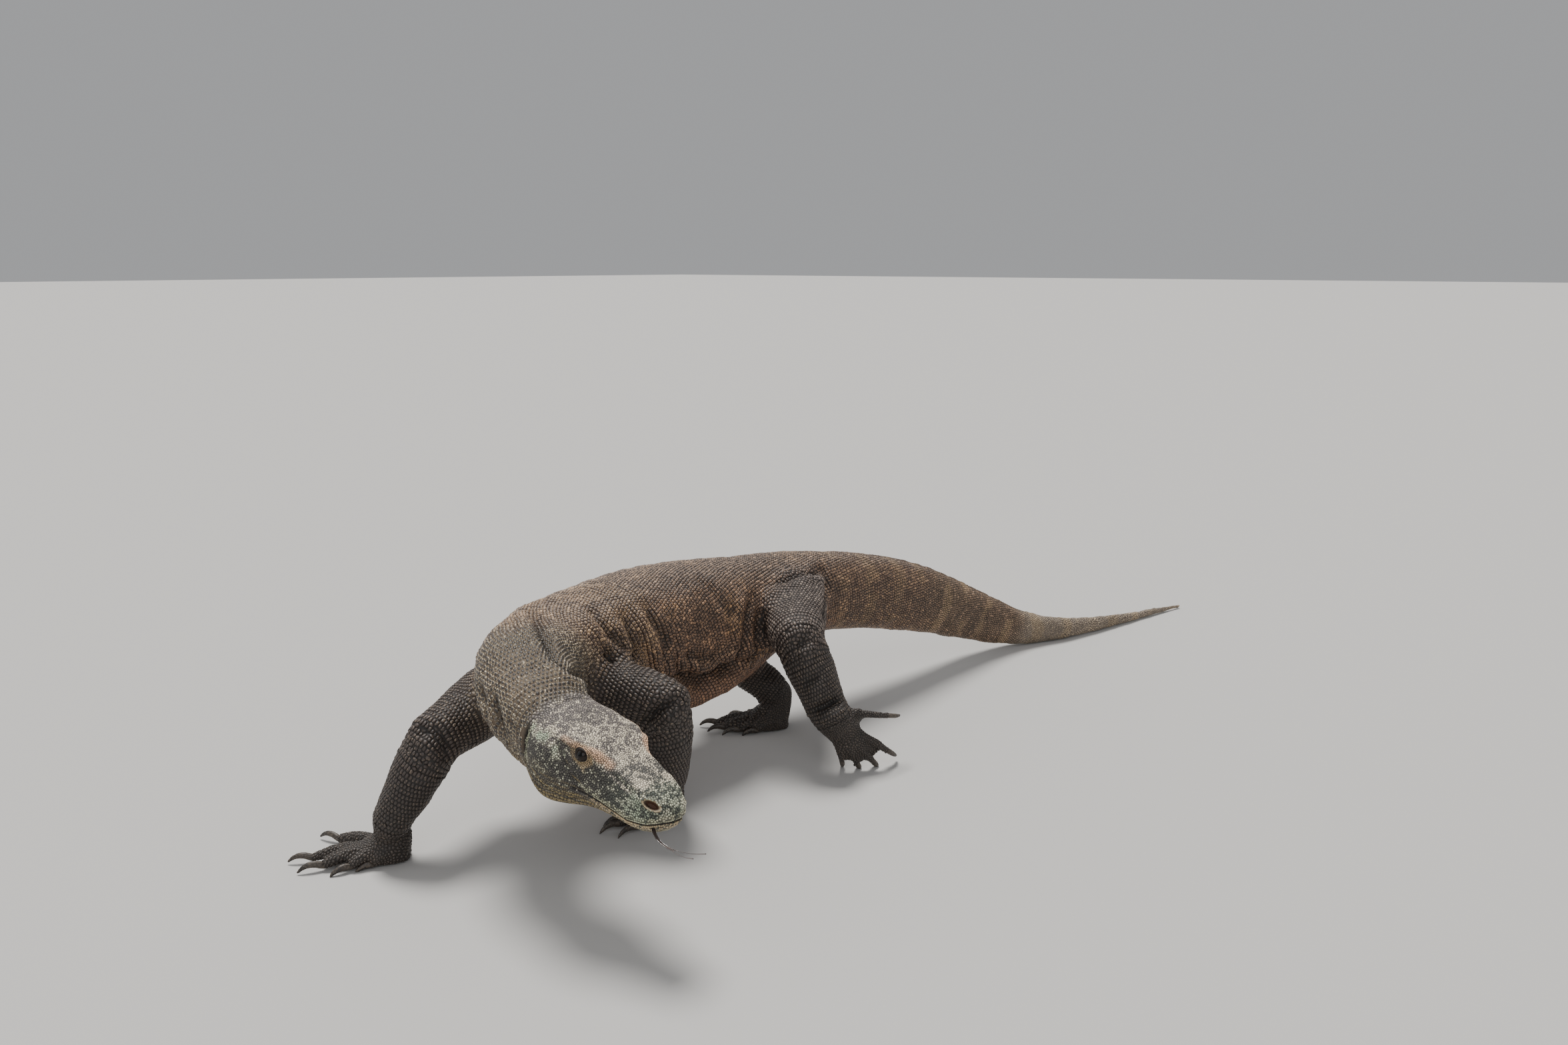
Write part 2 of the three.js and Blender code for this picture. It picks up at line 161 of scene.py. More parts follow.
def spread(field, edges, rounds, share=0.5, weight=None):  # averages a field with its neighbours
    count = len(field)
    columns = field.reshape(count, -1).copy()
    ends = np.concatenate([edges[:, 0], edges[:, 1]])
    others = np.concatenate([edges[:, 1], edges[:, 0]])
    valence = np.maximum(np.bincount(ends, minlength=count), 1)
    for step in range(rounds):
        pull = share if weight is None else share * np.clip(weight - step, 0, 1)
        for k in range(columns.shape[1]):
            mean = np.bincount(ends, weights=columns[others, k], minlength=count) / valence
            columns[:, k] += (mean - columns[:, k]) * pull
    return columns.reshape(field.shape)


def nodeTriangles(names):  # points, triangles and the owner of each triangle
    points, triangles, owners = [], [], []
    base = 0
    for name in names:
        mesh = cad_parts[name].data
        points.append(coordinates(mesh))
        triangles.append(read(mesh.polygons, "vertices", 3, np.int32) + base)
        owners.append(np.full(len(mesh.polygons), ownerIndex.get(name, -1)))
        base += len(mesh.vertices)
    return np.concatenate(points), np.concatenate(triangles), np.concatenate(owners)


def treeOf(points, triangles):
    return BVHTree.FromPolygons(points.tolist(), triangles.tolist())


def nodeTree(name):
    return treeOf(*nodeTriangles([name])[:2])


def pointTree(points):
    tree = KDTree(len(points))
    for i, p in enumerate(points.tolist()):
        tree.insert(p, i)
    tree.balance()
    return tree


def faceAreas(points, triangles):
    a, b, c = (points[triangles[:, k]] for k in range(3))
    return np.linalg.norm(np.cross(b - a, c - a), axis=1) / 2


def contactCentre(name, neighbour, reach=0.0015):  # the middle of the face that two nodes share
    points, triangles, _ = nodeTriangles([name])
    centres = points[triangles].mean(axis=1)
    tree = nodeTree(neighbour)
    near = np.array([tree.find_nearest(Vector(c), reach)[0] is not None for c in centres])
    return np.average(centres[near], axis=0, weights=faceAreas(points, triangles)[near])


def scatterOn(points, triangles, count, seed, weight=1.0):  # points spread on a surface, and their triangles
    rng = np.random.default_rng(seed)
    area = faceAreas(points, triangles) * weight
    chosen = rng.choice(len(triangles), count, p=area / area.sum())
    u, v = rng.random((2, count, 1))
    flip = u + v > 1
    u, v = np.where(flip, 1 - u, u), np.where(flip, 1 - v, v)
    a, b, c = (points[triangles[chosen, k]] for k in range(3))
    return a + (b - a) * u + (c - a) * v, chosen


def evenLine(points, spacing):  # a polyline resampled at an even spacing
    points = np.array(points)
    length = np.concatenate([[0], np.cumsum(np.linalg.norm(np.diff(points, axis=0), axis=1))])
    at = np.linspace(0, length[-1], max(2, round(length[-1] / spacing) + 1))
    return np.stack([np.interp(at, length, points[:, k]) for k in range(3)], axis=1)


def eased(line, rounds):  # the line with its corners worn away and its ends kept
    for _ in range(rounds):
        line[1:-1] = (line[:-2] + 2 * line[1:-1] + line[2:]) / 4
    return line


class Axis:  # the line that rows of scales are set round
    def __init__(self, points, upright):
        self.points = evenLine(points, 0.004)
        self.length = np.linalg.norm(np.diff(self.points, axis=0), axis=1).sum()
        self.at = np.linspace(0, self.length, len(self.points))
        self.tangents = unit(np.gradient(self.points, axis=0))
        self.upright = upright
        self.sides = self.carried()
        self.tree = pointTree(self.points)

    def carried(self):  # a sideways direction that follows the line without twisting
        side = np.cross(self.tangents[0], [0, 0, 1] if abs(self.tangents[0][2]) < 0.9 else [0, 1, 0])
        sides = []
        for tangent in self.tangents:
            side = unit(side - tangent * (side @ tangent))
            sides.append(side)
        return np.array(sides)

    def between(self, rows, s):
        return np.array([np.interp(s, self.at, rows[:, k]) for k in range(3)])

    def sample(self, s):  # the place, the way along, the way to the side and the way up
        tangent = unit(self.between(self.tangents, s))
        side = unit(np.cross(tangent, [0, 0, 1]) if self.upright else self.between(self.sides, s))
        return self.between(self.points, s), tangent, side, np.cross(side, tangent)

    def nearest(self, points):
        return np.array([self.tree.find(p)[1] for p in points])

    def distance(self, points):  # how far along the line the points lie
        return self.at[self.nearest(points)]


def bodyAxis():  # the middle line from the nape to the tip of the tail
    line = [contactCentre("neck", "head")]
    for name, following in zip(axialNodes, axialNodes[1:] + [None]):
        surface = scatterOn(*nodeTriangles([name])[:2], 3000, 1)[0]
        if following is None:
            line.append(surface[np.argmax(np.linalg.norm(surface - line[-1], axis=1))])
            break
        end = contactCentre(name, following)
        share = (surface - line[-1]) @ (end - line[-1]) / ((end - line[-1]) @ (end - line[-1]))
        middle = surface[np.abs(share - 0.5) < 0.12]
        line += [(middle.min(axis=0) + middle.max(axis=0)) / 2, end]
    return Axis(eased(evenLine(line, 0.02), 14), True)


def limbAxis(nodes, trunk):  # from inside the trunk to the wrist or the ankle
    root = contactCentre(nodes[0], trunk, 0.003)
    bend = contactCentre(nodes[0], nodes[1])
    end = contactCentre(nodes[1], nodes[2], 0.003)
    return Axis(eased(evenLine([root, bend, end], 0.01), 8), False)


spineAxis = bodyAxis()
limbAxes = {name: limbAxis(nodes, "trunk_front" if name.startswith("fore") else "trunk_hips")
            for name, nodes in limbNodes.items()}
nodeStarts = {a: spineAxis.distance([contactCentre(a, b)])[0] for a, b in zip(axialNodes[1:], axialNodes)}
limbBends = {name: limbAxes[name].distance([contactCentre(nodes[0], nodes[1])])[0]
             for name, nodes in limbNodes.items()}
print("axes found, body length", round(spineAxis.length, 3))


headPose = {
    "turn": (-6, 13, -2),  # roll, pitch and yaw of the head, in degrees
    "eyeAhead": 0.100,  # the eyes' middle from the back of the skull
    "eyeAbove": 0.022,
}
eyeCentres = {side: (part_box("eye_" + side)[0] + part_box("eye_" + side)[1]) / 2 for side in ("left", "right")}
headTurn = np.array(Euler([math.radians(a) for a in headPose["turn"]], "XYZ").to_matrix())
eyeRadius = (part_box("eye_left")[1].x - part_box("eye_left")[0].x) / 2
eyesMiddle = np.array((eyeCentres["left"] + eyeCentres["right"]) / 2)
headOrigin = eyesMiddle - headTurn @ np.array([headPose["eyeAhead"], 0, headPose["eyeAbove"]])


def toHead(points):
    return (np.asarray(points) - headOrigin) @ headTurn


def fromHead(points):
    return np.asarray(points) @ headTurn.T + headOrigin


def feed(tree, node, values):  # fills the inputs of a node: a socket is linked, anything else is set
    for key, value in values.items():
        if isinstance(value, bpy.types.NodeSocket):
            tree.links.new(value, node.inputs[key])
        else:
            node.inputs[key].default_value = value


def newMaterial(name, values):
    material = bpy.data.materials.new(name)
    material.use_nodes = True
    shader = material.node_tree.nodes["Principled BSDF"]
    feed(material.node_tree, shader, values)
    return material, shader


def makeStage():
    view = {"fromEye": (1.122, -0.945, 0.6095), "heading": 40.0, "down": 12.07, "lens": 28}
    camera = placed("camera", bpy.data.cameras.new("camera"))
    camera.location = eyeCentres["right"] + Vector(view["fromEye"])
    camera.rotation_euler = (math.radians(90 - view["down"]), 0, math.radians(view["heading"]))
    camera.data.lens = view["lens"]
    camera.data.sensor_width = 36
    camera.data.clip_end = 200
    bpy.context.scene.camera = camera

    floorMesh = bpy.data.meshes.new("floor")
    floorMesh.from_pydata([(x, y, -0.0005) for x, y in ((-60, -60), (60, -60), (60, 60), (-60, 60))],
                          [], [(0, 1, 2, 3)])
    values = {"Base Color": (0.50, 0.49, 0.475, 1), "Roughness": 0.9}
    floorMesh.materials.append(newMaterial("studio floor", values)[0])
    floor = placed("floor", floorMesh)

    lamps = [  # where each soft light comes from, its strength and how wide it is, in degrees
        ("key", (-0.30, 0.15, 1.0), 3.8, 22, (1.0, 0.98, 0.95)),
        ("fill", (1.0, -1.1, 0.9), 0.8, 50, (0.97, 0.98, 1.0)),
        ("side", (-1.0, -0.9, 0.7), 0.4, 50, (1.0, 0.98, 0.96)),
    ]
    for name, way, strength, width, colour in lamps:
        lamp = placed(name, bpy.data.lights.new(name, "SUN"))
        lamp.data.angle = math.radians(width)
        lamp.data.energy = strength
        lamp.data.color = colour
        lamp.location = Vector(way) * 3
        lamp.rotation_euler = Vector(way).to_track_quat("Z", "Y").to_euler()
    world = bpy.data.worlds.new("studio")
    world.use_nodes = True
    sky = world.node_tree.nodes["Background"]
    sky.inputs["Color"].default_value = (0.90, 0.91, 0.93, 1)
    sky.inputs["Strength"].default_value = 0.42
    bpy.context.scene.world = world


makeStage()
print("stage set")


skinForm = {
    "voxel": 0.0058,
    "overlap": 0.0006,  # closes the cuts between the nodes
    "footOverlap": 0.0024,  # keeps thin toes from falling between the voxels
    "coatDepth": 0.0014,  # how far the skin lies under the tips of the scales
    "footDepth": 0.0007,
    "lidThickness": 0.0013,
}


def joinedFlesh():
    whole = bmesh.new()
    for name in fleshNodes:
        part = bmesh.new()
        part.from_mesh(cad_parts[name].data)
        bmesh.ops.remove_doubles(part, verts=part.verts, dist=1e-5)
        part.normal_update()
        for v, normal in [(v, v.normal.copy()) for v in part.verts]:
            v.co += normal * skinForm["footOverlap" if "foot" in name else "overlap"]
        spare = bpy.data.meshes.new("spare")
        part.to_mesh(spare)
        whole.from_mesh(spare)
        bpy.data.meshes.remove(spare)
        part.free()
    radius = eyeRadius + skinForm["lidThickness"]
    for centre in eyeCentres.values():  # the closed lids, which the opening is cut into later
        ball = bmesh.ops.create_icosphere(whole, subdivisions=3, radius=radius)
        bmesh.ops.translate(whole, verts=ball["verts"], vec=centre)
    mesh = bpy.data.meshes.new("flesh")
    whole.to_mesh(mesh)
    whole.free()
    return mesh


def voxelSkin():
    flesh = placed("flesh", joinedFlesh())
    remesh = flesh.modifiers.new("remesh", "REMESH")
    remesh.mode = "VOXEL"
    remesh.voxel_size = skinForm["voxel"]
    remesh.adaptivity = 0
    return applied(flesh)


fleshPoints, fleshTriangles, fleshOwners = nodeTriangles(fleshNodes)
fleshTree = treeOf(fleshPoints, fleshTriangles)


def ownersOf(points):  # the index of the node that each point lies nearest to
    return np.array([fleshOwners[fleshTree.find_nearest(Vector(p))[2]] for p in points])


groupOf = np.zeros(len(fleshNodes), int)  # 0 head, 1 spine, 2 to 5 limbs
for name in axialNodes:
    groupOf[ownerIndex[name]] = 1
for k, nodes in enumerate(limbNodes.values()):
    for name in nodes:
        groupOf[ownerIndex[name]] = 2 + k
isFoot = np.array(["foot" in name for name in fleshNodes])


smoothing = {  # rounds for each part, and how many more there are where parts meet
    "foot": 5,
    "head": 9,
    "body": 26,
    "limb": 16,
    "headSeam": 20,
    "limbSeam": 60,
}


def smoothedSkin(mesh):  # rounds the facets and blends the limbs into the body, and keeps the girth
    co = coordinates(mesh)
    edges = edgesOf(mesh)
    owners = ownersOf(co)
    group = groupOf[owners]
    seam = pointTree(co[edges[group[edges[:, 0]] != group[edges[:, 1]]].ravel()])
    gap = np.array([seam.find(p)[2] for p in co])
    rounds = np.choose(np.minimum(group, 2), [smoothing[part] for part in ("head", "body", "limb")])
    rounds = np.where(isFoot[owners], smoothing["foot"], rounds)
    seams = np.where(group == 0, smoothing["headSeam"], smoothing["limbSeam"])
    rounds = rounds + (1 - ramp(gap, 0.008, 0.045)) * seams
    rounds = spread(rounds.astype(float), edges, 8)
    smooth = spread(co, edges, 90, 0.6, rounds)
    normals = normalsOf(mesh, smooth)
    loss = ((co - smooth) * normals).sum(axis=1)
    loss = spread(loss, edges, 45, 0.6) * ramp(gap, 0.0, 0.05)
    return smooth + normals * loss[:, None]


def refined(mesh, co, near):  # splits every face whose corners all lie in the given zone
    write(mesh.vertices, "co", co)
    work = bmesh.new()
    work.from_mesh(mesh)
    work.verts.ensure_lookup_table()
    inside = near(co)
    chosen = {e for f in work.faces if all(inside[v.index] for v in f.verts) for e in f.edges}
    bmesh.ops.subdivide_edges(work, edges=list(chosen), cuts=1, use_grid_fill=True, smooth=0.6)
    work.to_mesh(mesh)
    work.free()
    return coordinates(mesh)


mouthPath = np.array([[0.098, -0.0245], [0.118, -0.0240], [0.150, -0.027], [0.182, -0.029],
                      [0.212, -0.021], [0.230, -0.011], [0.244, -0.009]])
nostrils = {"at": (0.2130, 0.0295, 0.0080), "out": (0.25, 0.92, 0.32), "long": 0.0106, "high": 0.0048,
            "lean": 0.02, "deep": 0.0062, "floor": 0.55, "edge": 1.0, "rim": (0.0011, 1.22, 0.2),
            "near": 0.014}
ears = {"at": (-0.003, 0.059, -0.008), "out": (-0.15, 0.98, 0.05), "long": 0.0036, "high": 0.0225,
        "lean": 0.0, "deep": 0.0060, "floor": 0.5, "edge": 1.05, "rim": (0.0013, 1.45, 0.3), "near": 0.022}
lids = {"out": (0.10, 0.93, 0.36), "long": 0.0088, "high": 0.0066, "lean": -0.25}
brows = np.array([[0.056, 0.055, 0.029], [0.069, 0.055, 0.031], [0.080, 0.054, 0.031],
                  [0.093, 0.054, 0.033], [0.104, 0.051, 0.034], [0.116, 0.045, 0.0345],
                  [0.125, 0.041, 0.032], [0.136, 0.037, 0.028]])
headFolds = {  # width, depth and bulge in mm, then points along each crease in the head's own axes
    "cheek": (6, 2.2, 1.5, [(0.054, 0.060, 0.026), (0.077, 0.062, 0.013), (0.092, 0.059, -0.002),
        (0.105, 0.053, -0.015), (0.118, 0.049, -0.021)]),
    "jowl": (8, 2.6, 1.8, [(0.017, 0.056, -0.050), (0.039, 0.051, -0.062), (0.058, 0.047, -0.063),
        (0.076, 0.038, -0.063), (0.099, 0.035, -0.053), (0.125, 0.034, -0.044)]),
    "upper jowl": (6, 1.6, 1.2, [(0.030, 0.062, -0.034), (0.055, 0.058, -0.043), (0.080, 0.050, -0.044),
        (0.105, 0.043, -0.038)]),
    "below the eye": (5, 1.6, 1.0, [(0.088, 0.057, 0.004), (0.099, 0.056, 0.0), (0.110, 0.053, -0.005),
        (0.120, 0.050, -0.008)]),
    "second below it": (5, 1.4, 1.0, [(0.090, 0.057, -0.008), (0.104, 0.053, -0.010),
        (0.118, 0.049, -0.014), (0.132, 0.045, -0.016)]),
    "before the eye": (5, 1.8, 1.2, [(0.116, 0.048, 0.021), (0.122, 0.046, 0.010), (0.130, 0.045, 0.0)]),
    "nape": (7, 1.8, 1.2, [(0.011, 0.030, 0.042), (0.008, 0.010, 0.045), (0.006, -0.010, 0.045),
        (0.011, -0.030, 0.042)]),
    "snout side": (6, 1.6, 1.2, [(0.140, 0.038, 0.020), (0.158, 0.036, 0.016), (0.176, 0.035, 0.013),
        (0.190, 0.034, 0.013)]),
}


def holeAxes(hole, side):  # a hole's middle, and the ways along it, across it and outwards
    out = unit(np.array(hole["out"]) * (1, side, 1))
    along = np.array([math.cos(hole["lean"]), 0, math.sin(hole["lean"])])
    along = unit(along - out * (along @ out))
    return np.array(hole["at"]) * (1, side, 1), along, np.cross(out, along) * side, out


def holePlane(hole, points, side):  # places from a hole's middle: along it, across it, and outwards
    centre, *ways = holeAxes(hole, side)
    return [(points - centre) @ way for way in ways]


def ovalShare(hole, a, b):  # how far out of a hole a place is, 1 on its edge
    return np.hypot(a / hole["long"], b / hole["high"])


lids["at"] = (headPose["eyeAhead"], np.linalg.norm(eyeCentres["left"] - eyeCentres["right"]) / 2,
              headPose["eyeAbove"])


def lineGap(points, line):  # distance to a line of points, and how far along it the nearest place lies
    line = evenLine(line, 0.0012)
    gaps = np.linalg.norm(points[:, None] - line[None], axis=2) if len(points) < 30000 else None
    if gaps is None:
        parts = [lineGap(chunk, line) for chunk in np.array_split(points, len(points) // 20000 + 1)]
        return np.concatenate([q[0] for q in parts]), np.concatenate([q[1] for q in parts])
    best = gaps.argmin(axis=1)
    return gaps[np.arange(len(points)), best], best / (len(line) - 1)


creaseForm = {  # over half the crease's width
    "bulgeAt": 1.8,
    "bulgeWide": 1.2,
    "farBulge": 0.25,  # height of the bulge on the other side, over the near one
    "farAt": 1.9,
    "creaseAt": 0.15,
    "nearWide": 0.75,  # the crease is steeper towards the bulge
    "farWide": 1.1,
}


def foldLift(co, normals, tree, width, depth, ridge, line, step=0.004):  # a crease with a bulge beside it
    line = eased(evenLine(line, step), 3)
    if tree is not None:
        line = np.array([tree.find_nearest(Vector(p))[0] for p in line])
    tangent = unit(np.gradient(line, axis=0))
    reach = 0.004 * width
    near = np.flatnonzero(((co > line.min(axis=0) - reach) & (co < line.max(axis=0) + reach)).all(axis=1))
    gaps = np.linalg.norm(co[near][:, None] - line[None], axis=2)
    best = gaps.argmin(axis=1)
    gap = gaps[np.arange(len(near)), best] * 1000
    side = (np.cross(tangent[best], normals[near]) * (co[near] - line[best])).sum(axis=1)
    share = best / (len(line) - 1)
    taper = ramp(share, -0.12, 0.22) * (1 - ramp(share, 0.8, 1.1))
    width = width * 0.5
    gap = gap * np.sign(side * (ridge or 1))  # the bulge lies on the positive side
    form = creaseForm
    bulge = hump(gap, form["bulgeAt"] * width, form["bulgeWide"] * width)
    bulge += form["farBulge"] * hump(gap, -form["farAt"] * width, form["bulgeWide"] * width)
    wide = np.where(gap > 0, form["nearWide"], form["farWide"])
    crease = hump(gap, -form["creaseAt"] * width, width * wide)
    lift = np.zeros(len(co))
    lift[near] = 0.001 * taper * (abs(ridge) * bulge - depth * crease)
    # the second result is painted shade along the crease, as strong as the crease is deep
    dark = np.zeros(len(co))
    dark[near] = taper * crease * min(depth / 8, 1)
    return lift, dark


def mouthHeight(x):
    return np.interp(x, mouthPath[:, 0], mouthPath[:, 1])


def mouthDistance(h):  # how far a point of the head is from the line of the mouth, as seen from the side
    height = mouthHeight(h[:, 0])
    behind = np.maximum(mouthPath[0, 0] - h[:, 0], 0)
    return np.hypot(h[:, 2] - height, behind), h[:, 2] - height


headForm = {  # heights and depths in metres
    "upperLip": 0.0010,
    "lowerLip": 0.0008,
    "mouth": 0.0032,
    "earFold": 0.0030,
    "earCrease": 0.0020,
    "cheekHollow": 0.0030,
    "snoutRidge": 0.0022,
    "jawMuscle": 0.0030,
    "underEye": 0.0018,
    "brow": 0.0042,
    "crown": 0.0016,
}


def pitted(hole, a, b, out):  # an oval pit with a raised rim
    g = ovalShare(hole, a, b)
    high, at, wide = hole["rim"]
    pit = -hole["deep"] * (1 - ramp(g, hole["floor"], hole["edge"])) + high * hump(g, at, wide)
    return pit * (np.abs(out) < hole["near"])


def carveHead(co, mesh):
    form = headForm
    h = toHead(co)
    normals = normalsOf(mesh, co) @ headTurn
    onHead = (h[:, 0] > -0.04) & (h[:, 0] < 0.26) & (np.abs(h[:, 1]) < 0.1) & (np.abs(h[:, 2]) < 0.12)
    move = np.zeros_like(h)

    # the line of the mouth, with a swollen lip above and below it
    gap, above = mouthDistance(h)
    sideways = ramp(np.abs(normals[:, 1]) + np.maximum(normals[:, 0], 0), 0.25, 0.6)
    lips = form["upperLip"] * hump(above, 0.0055, 0.0035) + form["lowerLip"] * hump(above, -0.005, 0.003)
    groove = -form["mouth"] * hump(gap, 0, 0.0016)
    move += normals * ((lips * (gap < 0.02) + groove) * sideways * onHead)[:, None]

    for side in (1, -1):
        # the nostril, and the ear's upright slit with a fold of skin behind it
        pit = pitted(nostrils, *holePlane(nostrils, h, side))
        move += normals * (pit * onHead)[:, None]
        a, b, out = holePlane(ears, h, side)
        fold = form["earFold"] * hump(a, -0.010, 0.0045) * hump(b, 0, 0.03)
        crease = -form["earCrease"] * hump(a, -0.018, 0.003) * hump(b, 0, 0.035)
        behind = (fold + crease) * (np.abs(out) < ears["near"])
        move += normals * ((pitted(ears, a, b, out) + behind) * onHead)[:, None]

    # hollow of the cheek in front of the eye, ridge of the snout, and the bulge of the jaw muscle
    x, z = h[:, 0], h[:, 2]
    for side in (1, -1):
        y = h[:, 1] * side
        hollow = -form["cheekHollow"] * hump(x, 0.150, 0.030) * hump(z, 0.004, 0.014)
        ridge = form["snoutRidge"] * hump(y, 0.026, 0.009) * ramp(x, 0.12, 0.15) \
            * (1 - ramp(x, 0.19, 0.215)) * (z > 0.005)
        muscle = form["jawMuscle"] * hump(x, 0.048, 0.026) * hump(z, 0.002, 0.026)
        under = -form["underEye"] * hump(x, 0.078, 0.012) * hump(z, 0.006, 0.014)
        move += normals * ((hollow + ridge + muscle + under) * (y > 0) * onHead)[:, None]
    for name, (width, depth, ridge, path) in headFolds.items():
        for side in ((1,) if name == "nape" else (1, -1)):
            line = fromHead(np.array(path) * (1, side, 1))
            lift = foldLift(co, normals @ headTurn.T, None, width, depth, ridge * side, line, 0.0015)[0]
            move += normals * lift[:, None]
    for side in (1, -1):  # the brow overhangs the eye
        gap, share = lineGap(h * (1, side, 1), brows)
        size = (0.7 + 0.3 * ramp(share, 0.4, 0.75)) * ramp(share, 0, 0.15) * (1 - ramp(share, 0.85, 1))
        bulge = form["brow"] * size * hump(gap, 0, 0.0044)
        move += (normals * 0.6 + np.array([0, 0.8 * side, 0.1])) * (bulge * onHead)[:, None]
    crown = -form["crown"] * hump(h[:, 1], 0, 0.010) * ramp(x, 0.02, 0.06) * (1 - ramp(x, 0.1, 0.17))
    move += normals * (crown * (z > 0.02) * onHead)[:, None]
    return co + move @ headTurn.T


def fitFeet(co, edges):  # brings palms and toes back to their own girth
    share = spread(isFoot[ownersOf(co)].astype(float), edges, 3)
    for v in np.flatnonzero(share > 0.02):
        place, normal, face = fleshTree.find_nearest(Vector(co[v]))[:3]
        if isFoot[fleshOwners[face]]:
            target = np.array(place) - np.array(normal) * skinForm["footDepth"]
            co[v] += (target - co[v]) * share[v]
    return spread(co, edges, 3, 0.5, np.where(share > 0.02, 3.0, 0.0))


def almond(a, b):  # how far out of the lids' opening a place is, 1 on its edge
    high = np.where(b > 0, lids["high"] * 0.80, lids["high"])
    return np.hypot(a / lids["long"], b / high) + 0.10 * (a / lids["long"]) ** 2 * (np.abs(b) / high)


def openLids(co):  # the lids lie on the eyeball and leave an almond of it bare
    h = toHead(co)
    for side in (1, -1):
        a, b, out = holePlane(lids, h, side)
        radius = np.sqrt(a ** 2 + b ** 2 + out ** 2)
        g = almond(a, b)
        front = (radius < eyeRadius * 2.0) & (out > 0)
        lidHeight = eyeRadius + skinForm["lidThickness"] * 0.8
        rimmed = lidHeight + 0.0005 * hump(g, 1.2, 0.16) - 0.0007 * hump(g, 1.7, 0.2)
        onLid = (1 - ramp(g, 1.4, 2.3)) * front
        target = np.where(g < 1.0, eyeRadius - 0.0035 - 0.002 * (1 - g), rimmed)
        target = np.where((g >= 1.0) & (g < 1.12), lidHeight - 0.0006, target)
        wanted = radius + (target - radius) * onLid
        centre = holeAxes(lids, side)[0]
        h = np.where(front[:, None], centre + (h - centre) * (wanted / np.maximum(radius, 1e-6))[:, None], h)
    return fromHead(h)


def makeSkinMesh():
    mesh = voxelSkin()
    print("voxel skin", len(mesh.vertices))
    co = smoothedSkin(mesh)
    co -= normalsOf(mesh, co) * (skinForm["coatDepth"] + skinForm["overlap"])

    def onHead(points):
        return (toHead(points)[:, 0] > -0.03) & (groupOf[ownersOf(points)] == 0)

    def nearHoles(reach):
        centres = []
        for hole in (lids, nostrils, ears):
            for side in (1, -1):
                centres.append((holeAxes(hole, side)[0], reach * (1.3 if hole is ears else 1)))
        return lambda points: np.any(
            [np.linalg.norm(toHead(points) - c, axis=1) < r for c, r in centres], axis=0)

    co = refined(mesh, co, lambda points: onHead(points) | isFoot[ownersOf(points)])
    co = refined(mesh, co, lambda points: nearHoles(0.022)(points)
                 | ((mouthDistance(toHead(points))[0] < 0.006) & onHead(points)))
    co = refined(mesh, co, nearHoles(0.0135))
    edges = edgesOf(mesh)
    co = fitFeet(co, edges)
    local = nearHoles(0.03)(co) | onHead(co)
    co = spread(co, edges, 4, 0.5, np.where(local, 4.0, 0.0))
    co = carveHead(co, mesh)
    co = spread(co, edges, 1, 0.5, np.where(local, 1.0, 0.0))
    co = openLids(co)
    return mesh, co, edges


skinMesh, skinPoints, skinEdges = makeSkinMesh()
print("skin carved", len(skinPoints))


skinMesh.calc_loop_triangles()
skinTriangles = read(skinMesh.loop_triangles, "vertices", 3, np.int32)
skinOwners = ownersOf(skinPoints)
spineAt = spineAxis.nearest(skinPoints)
spineShare = spineAxis.at[spineAt]


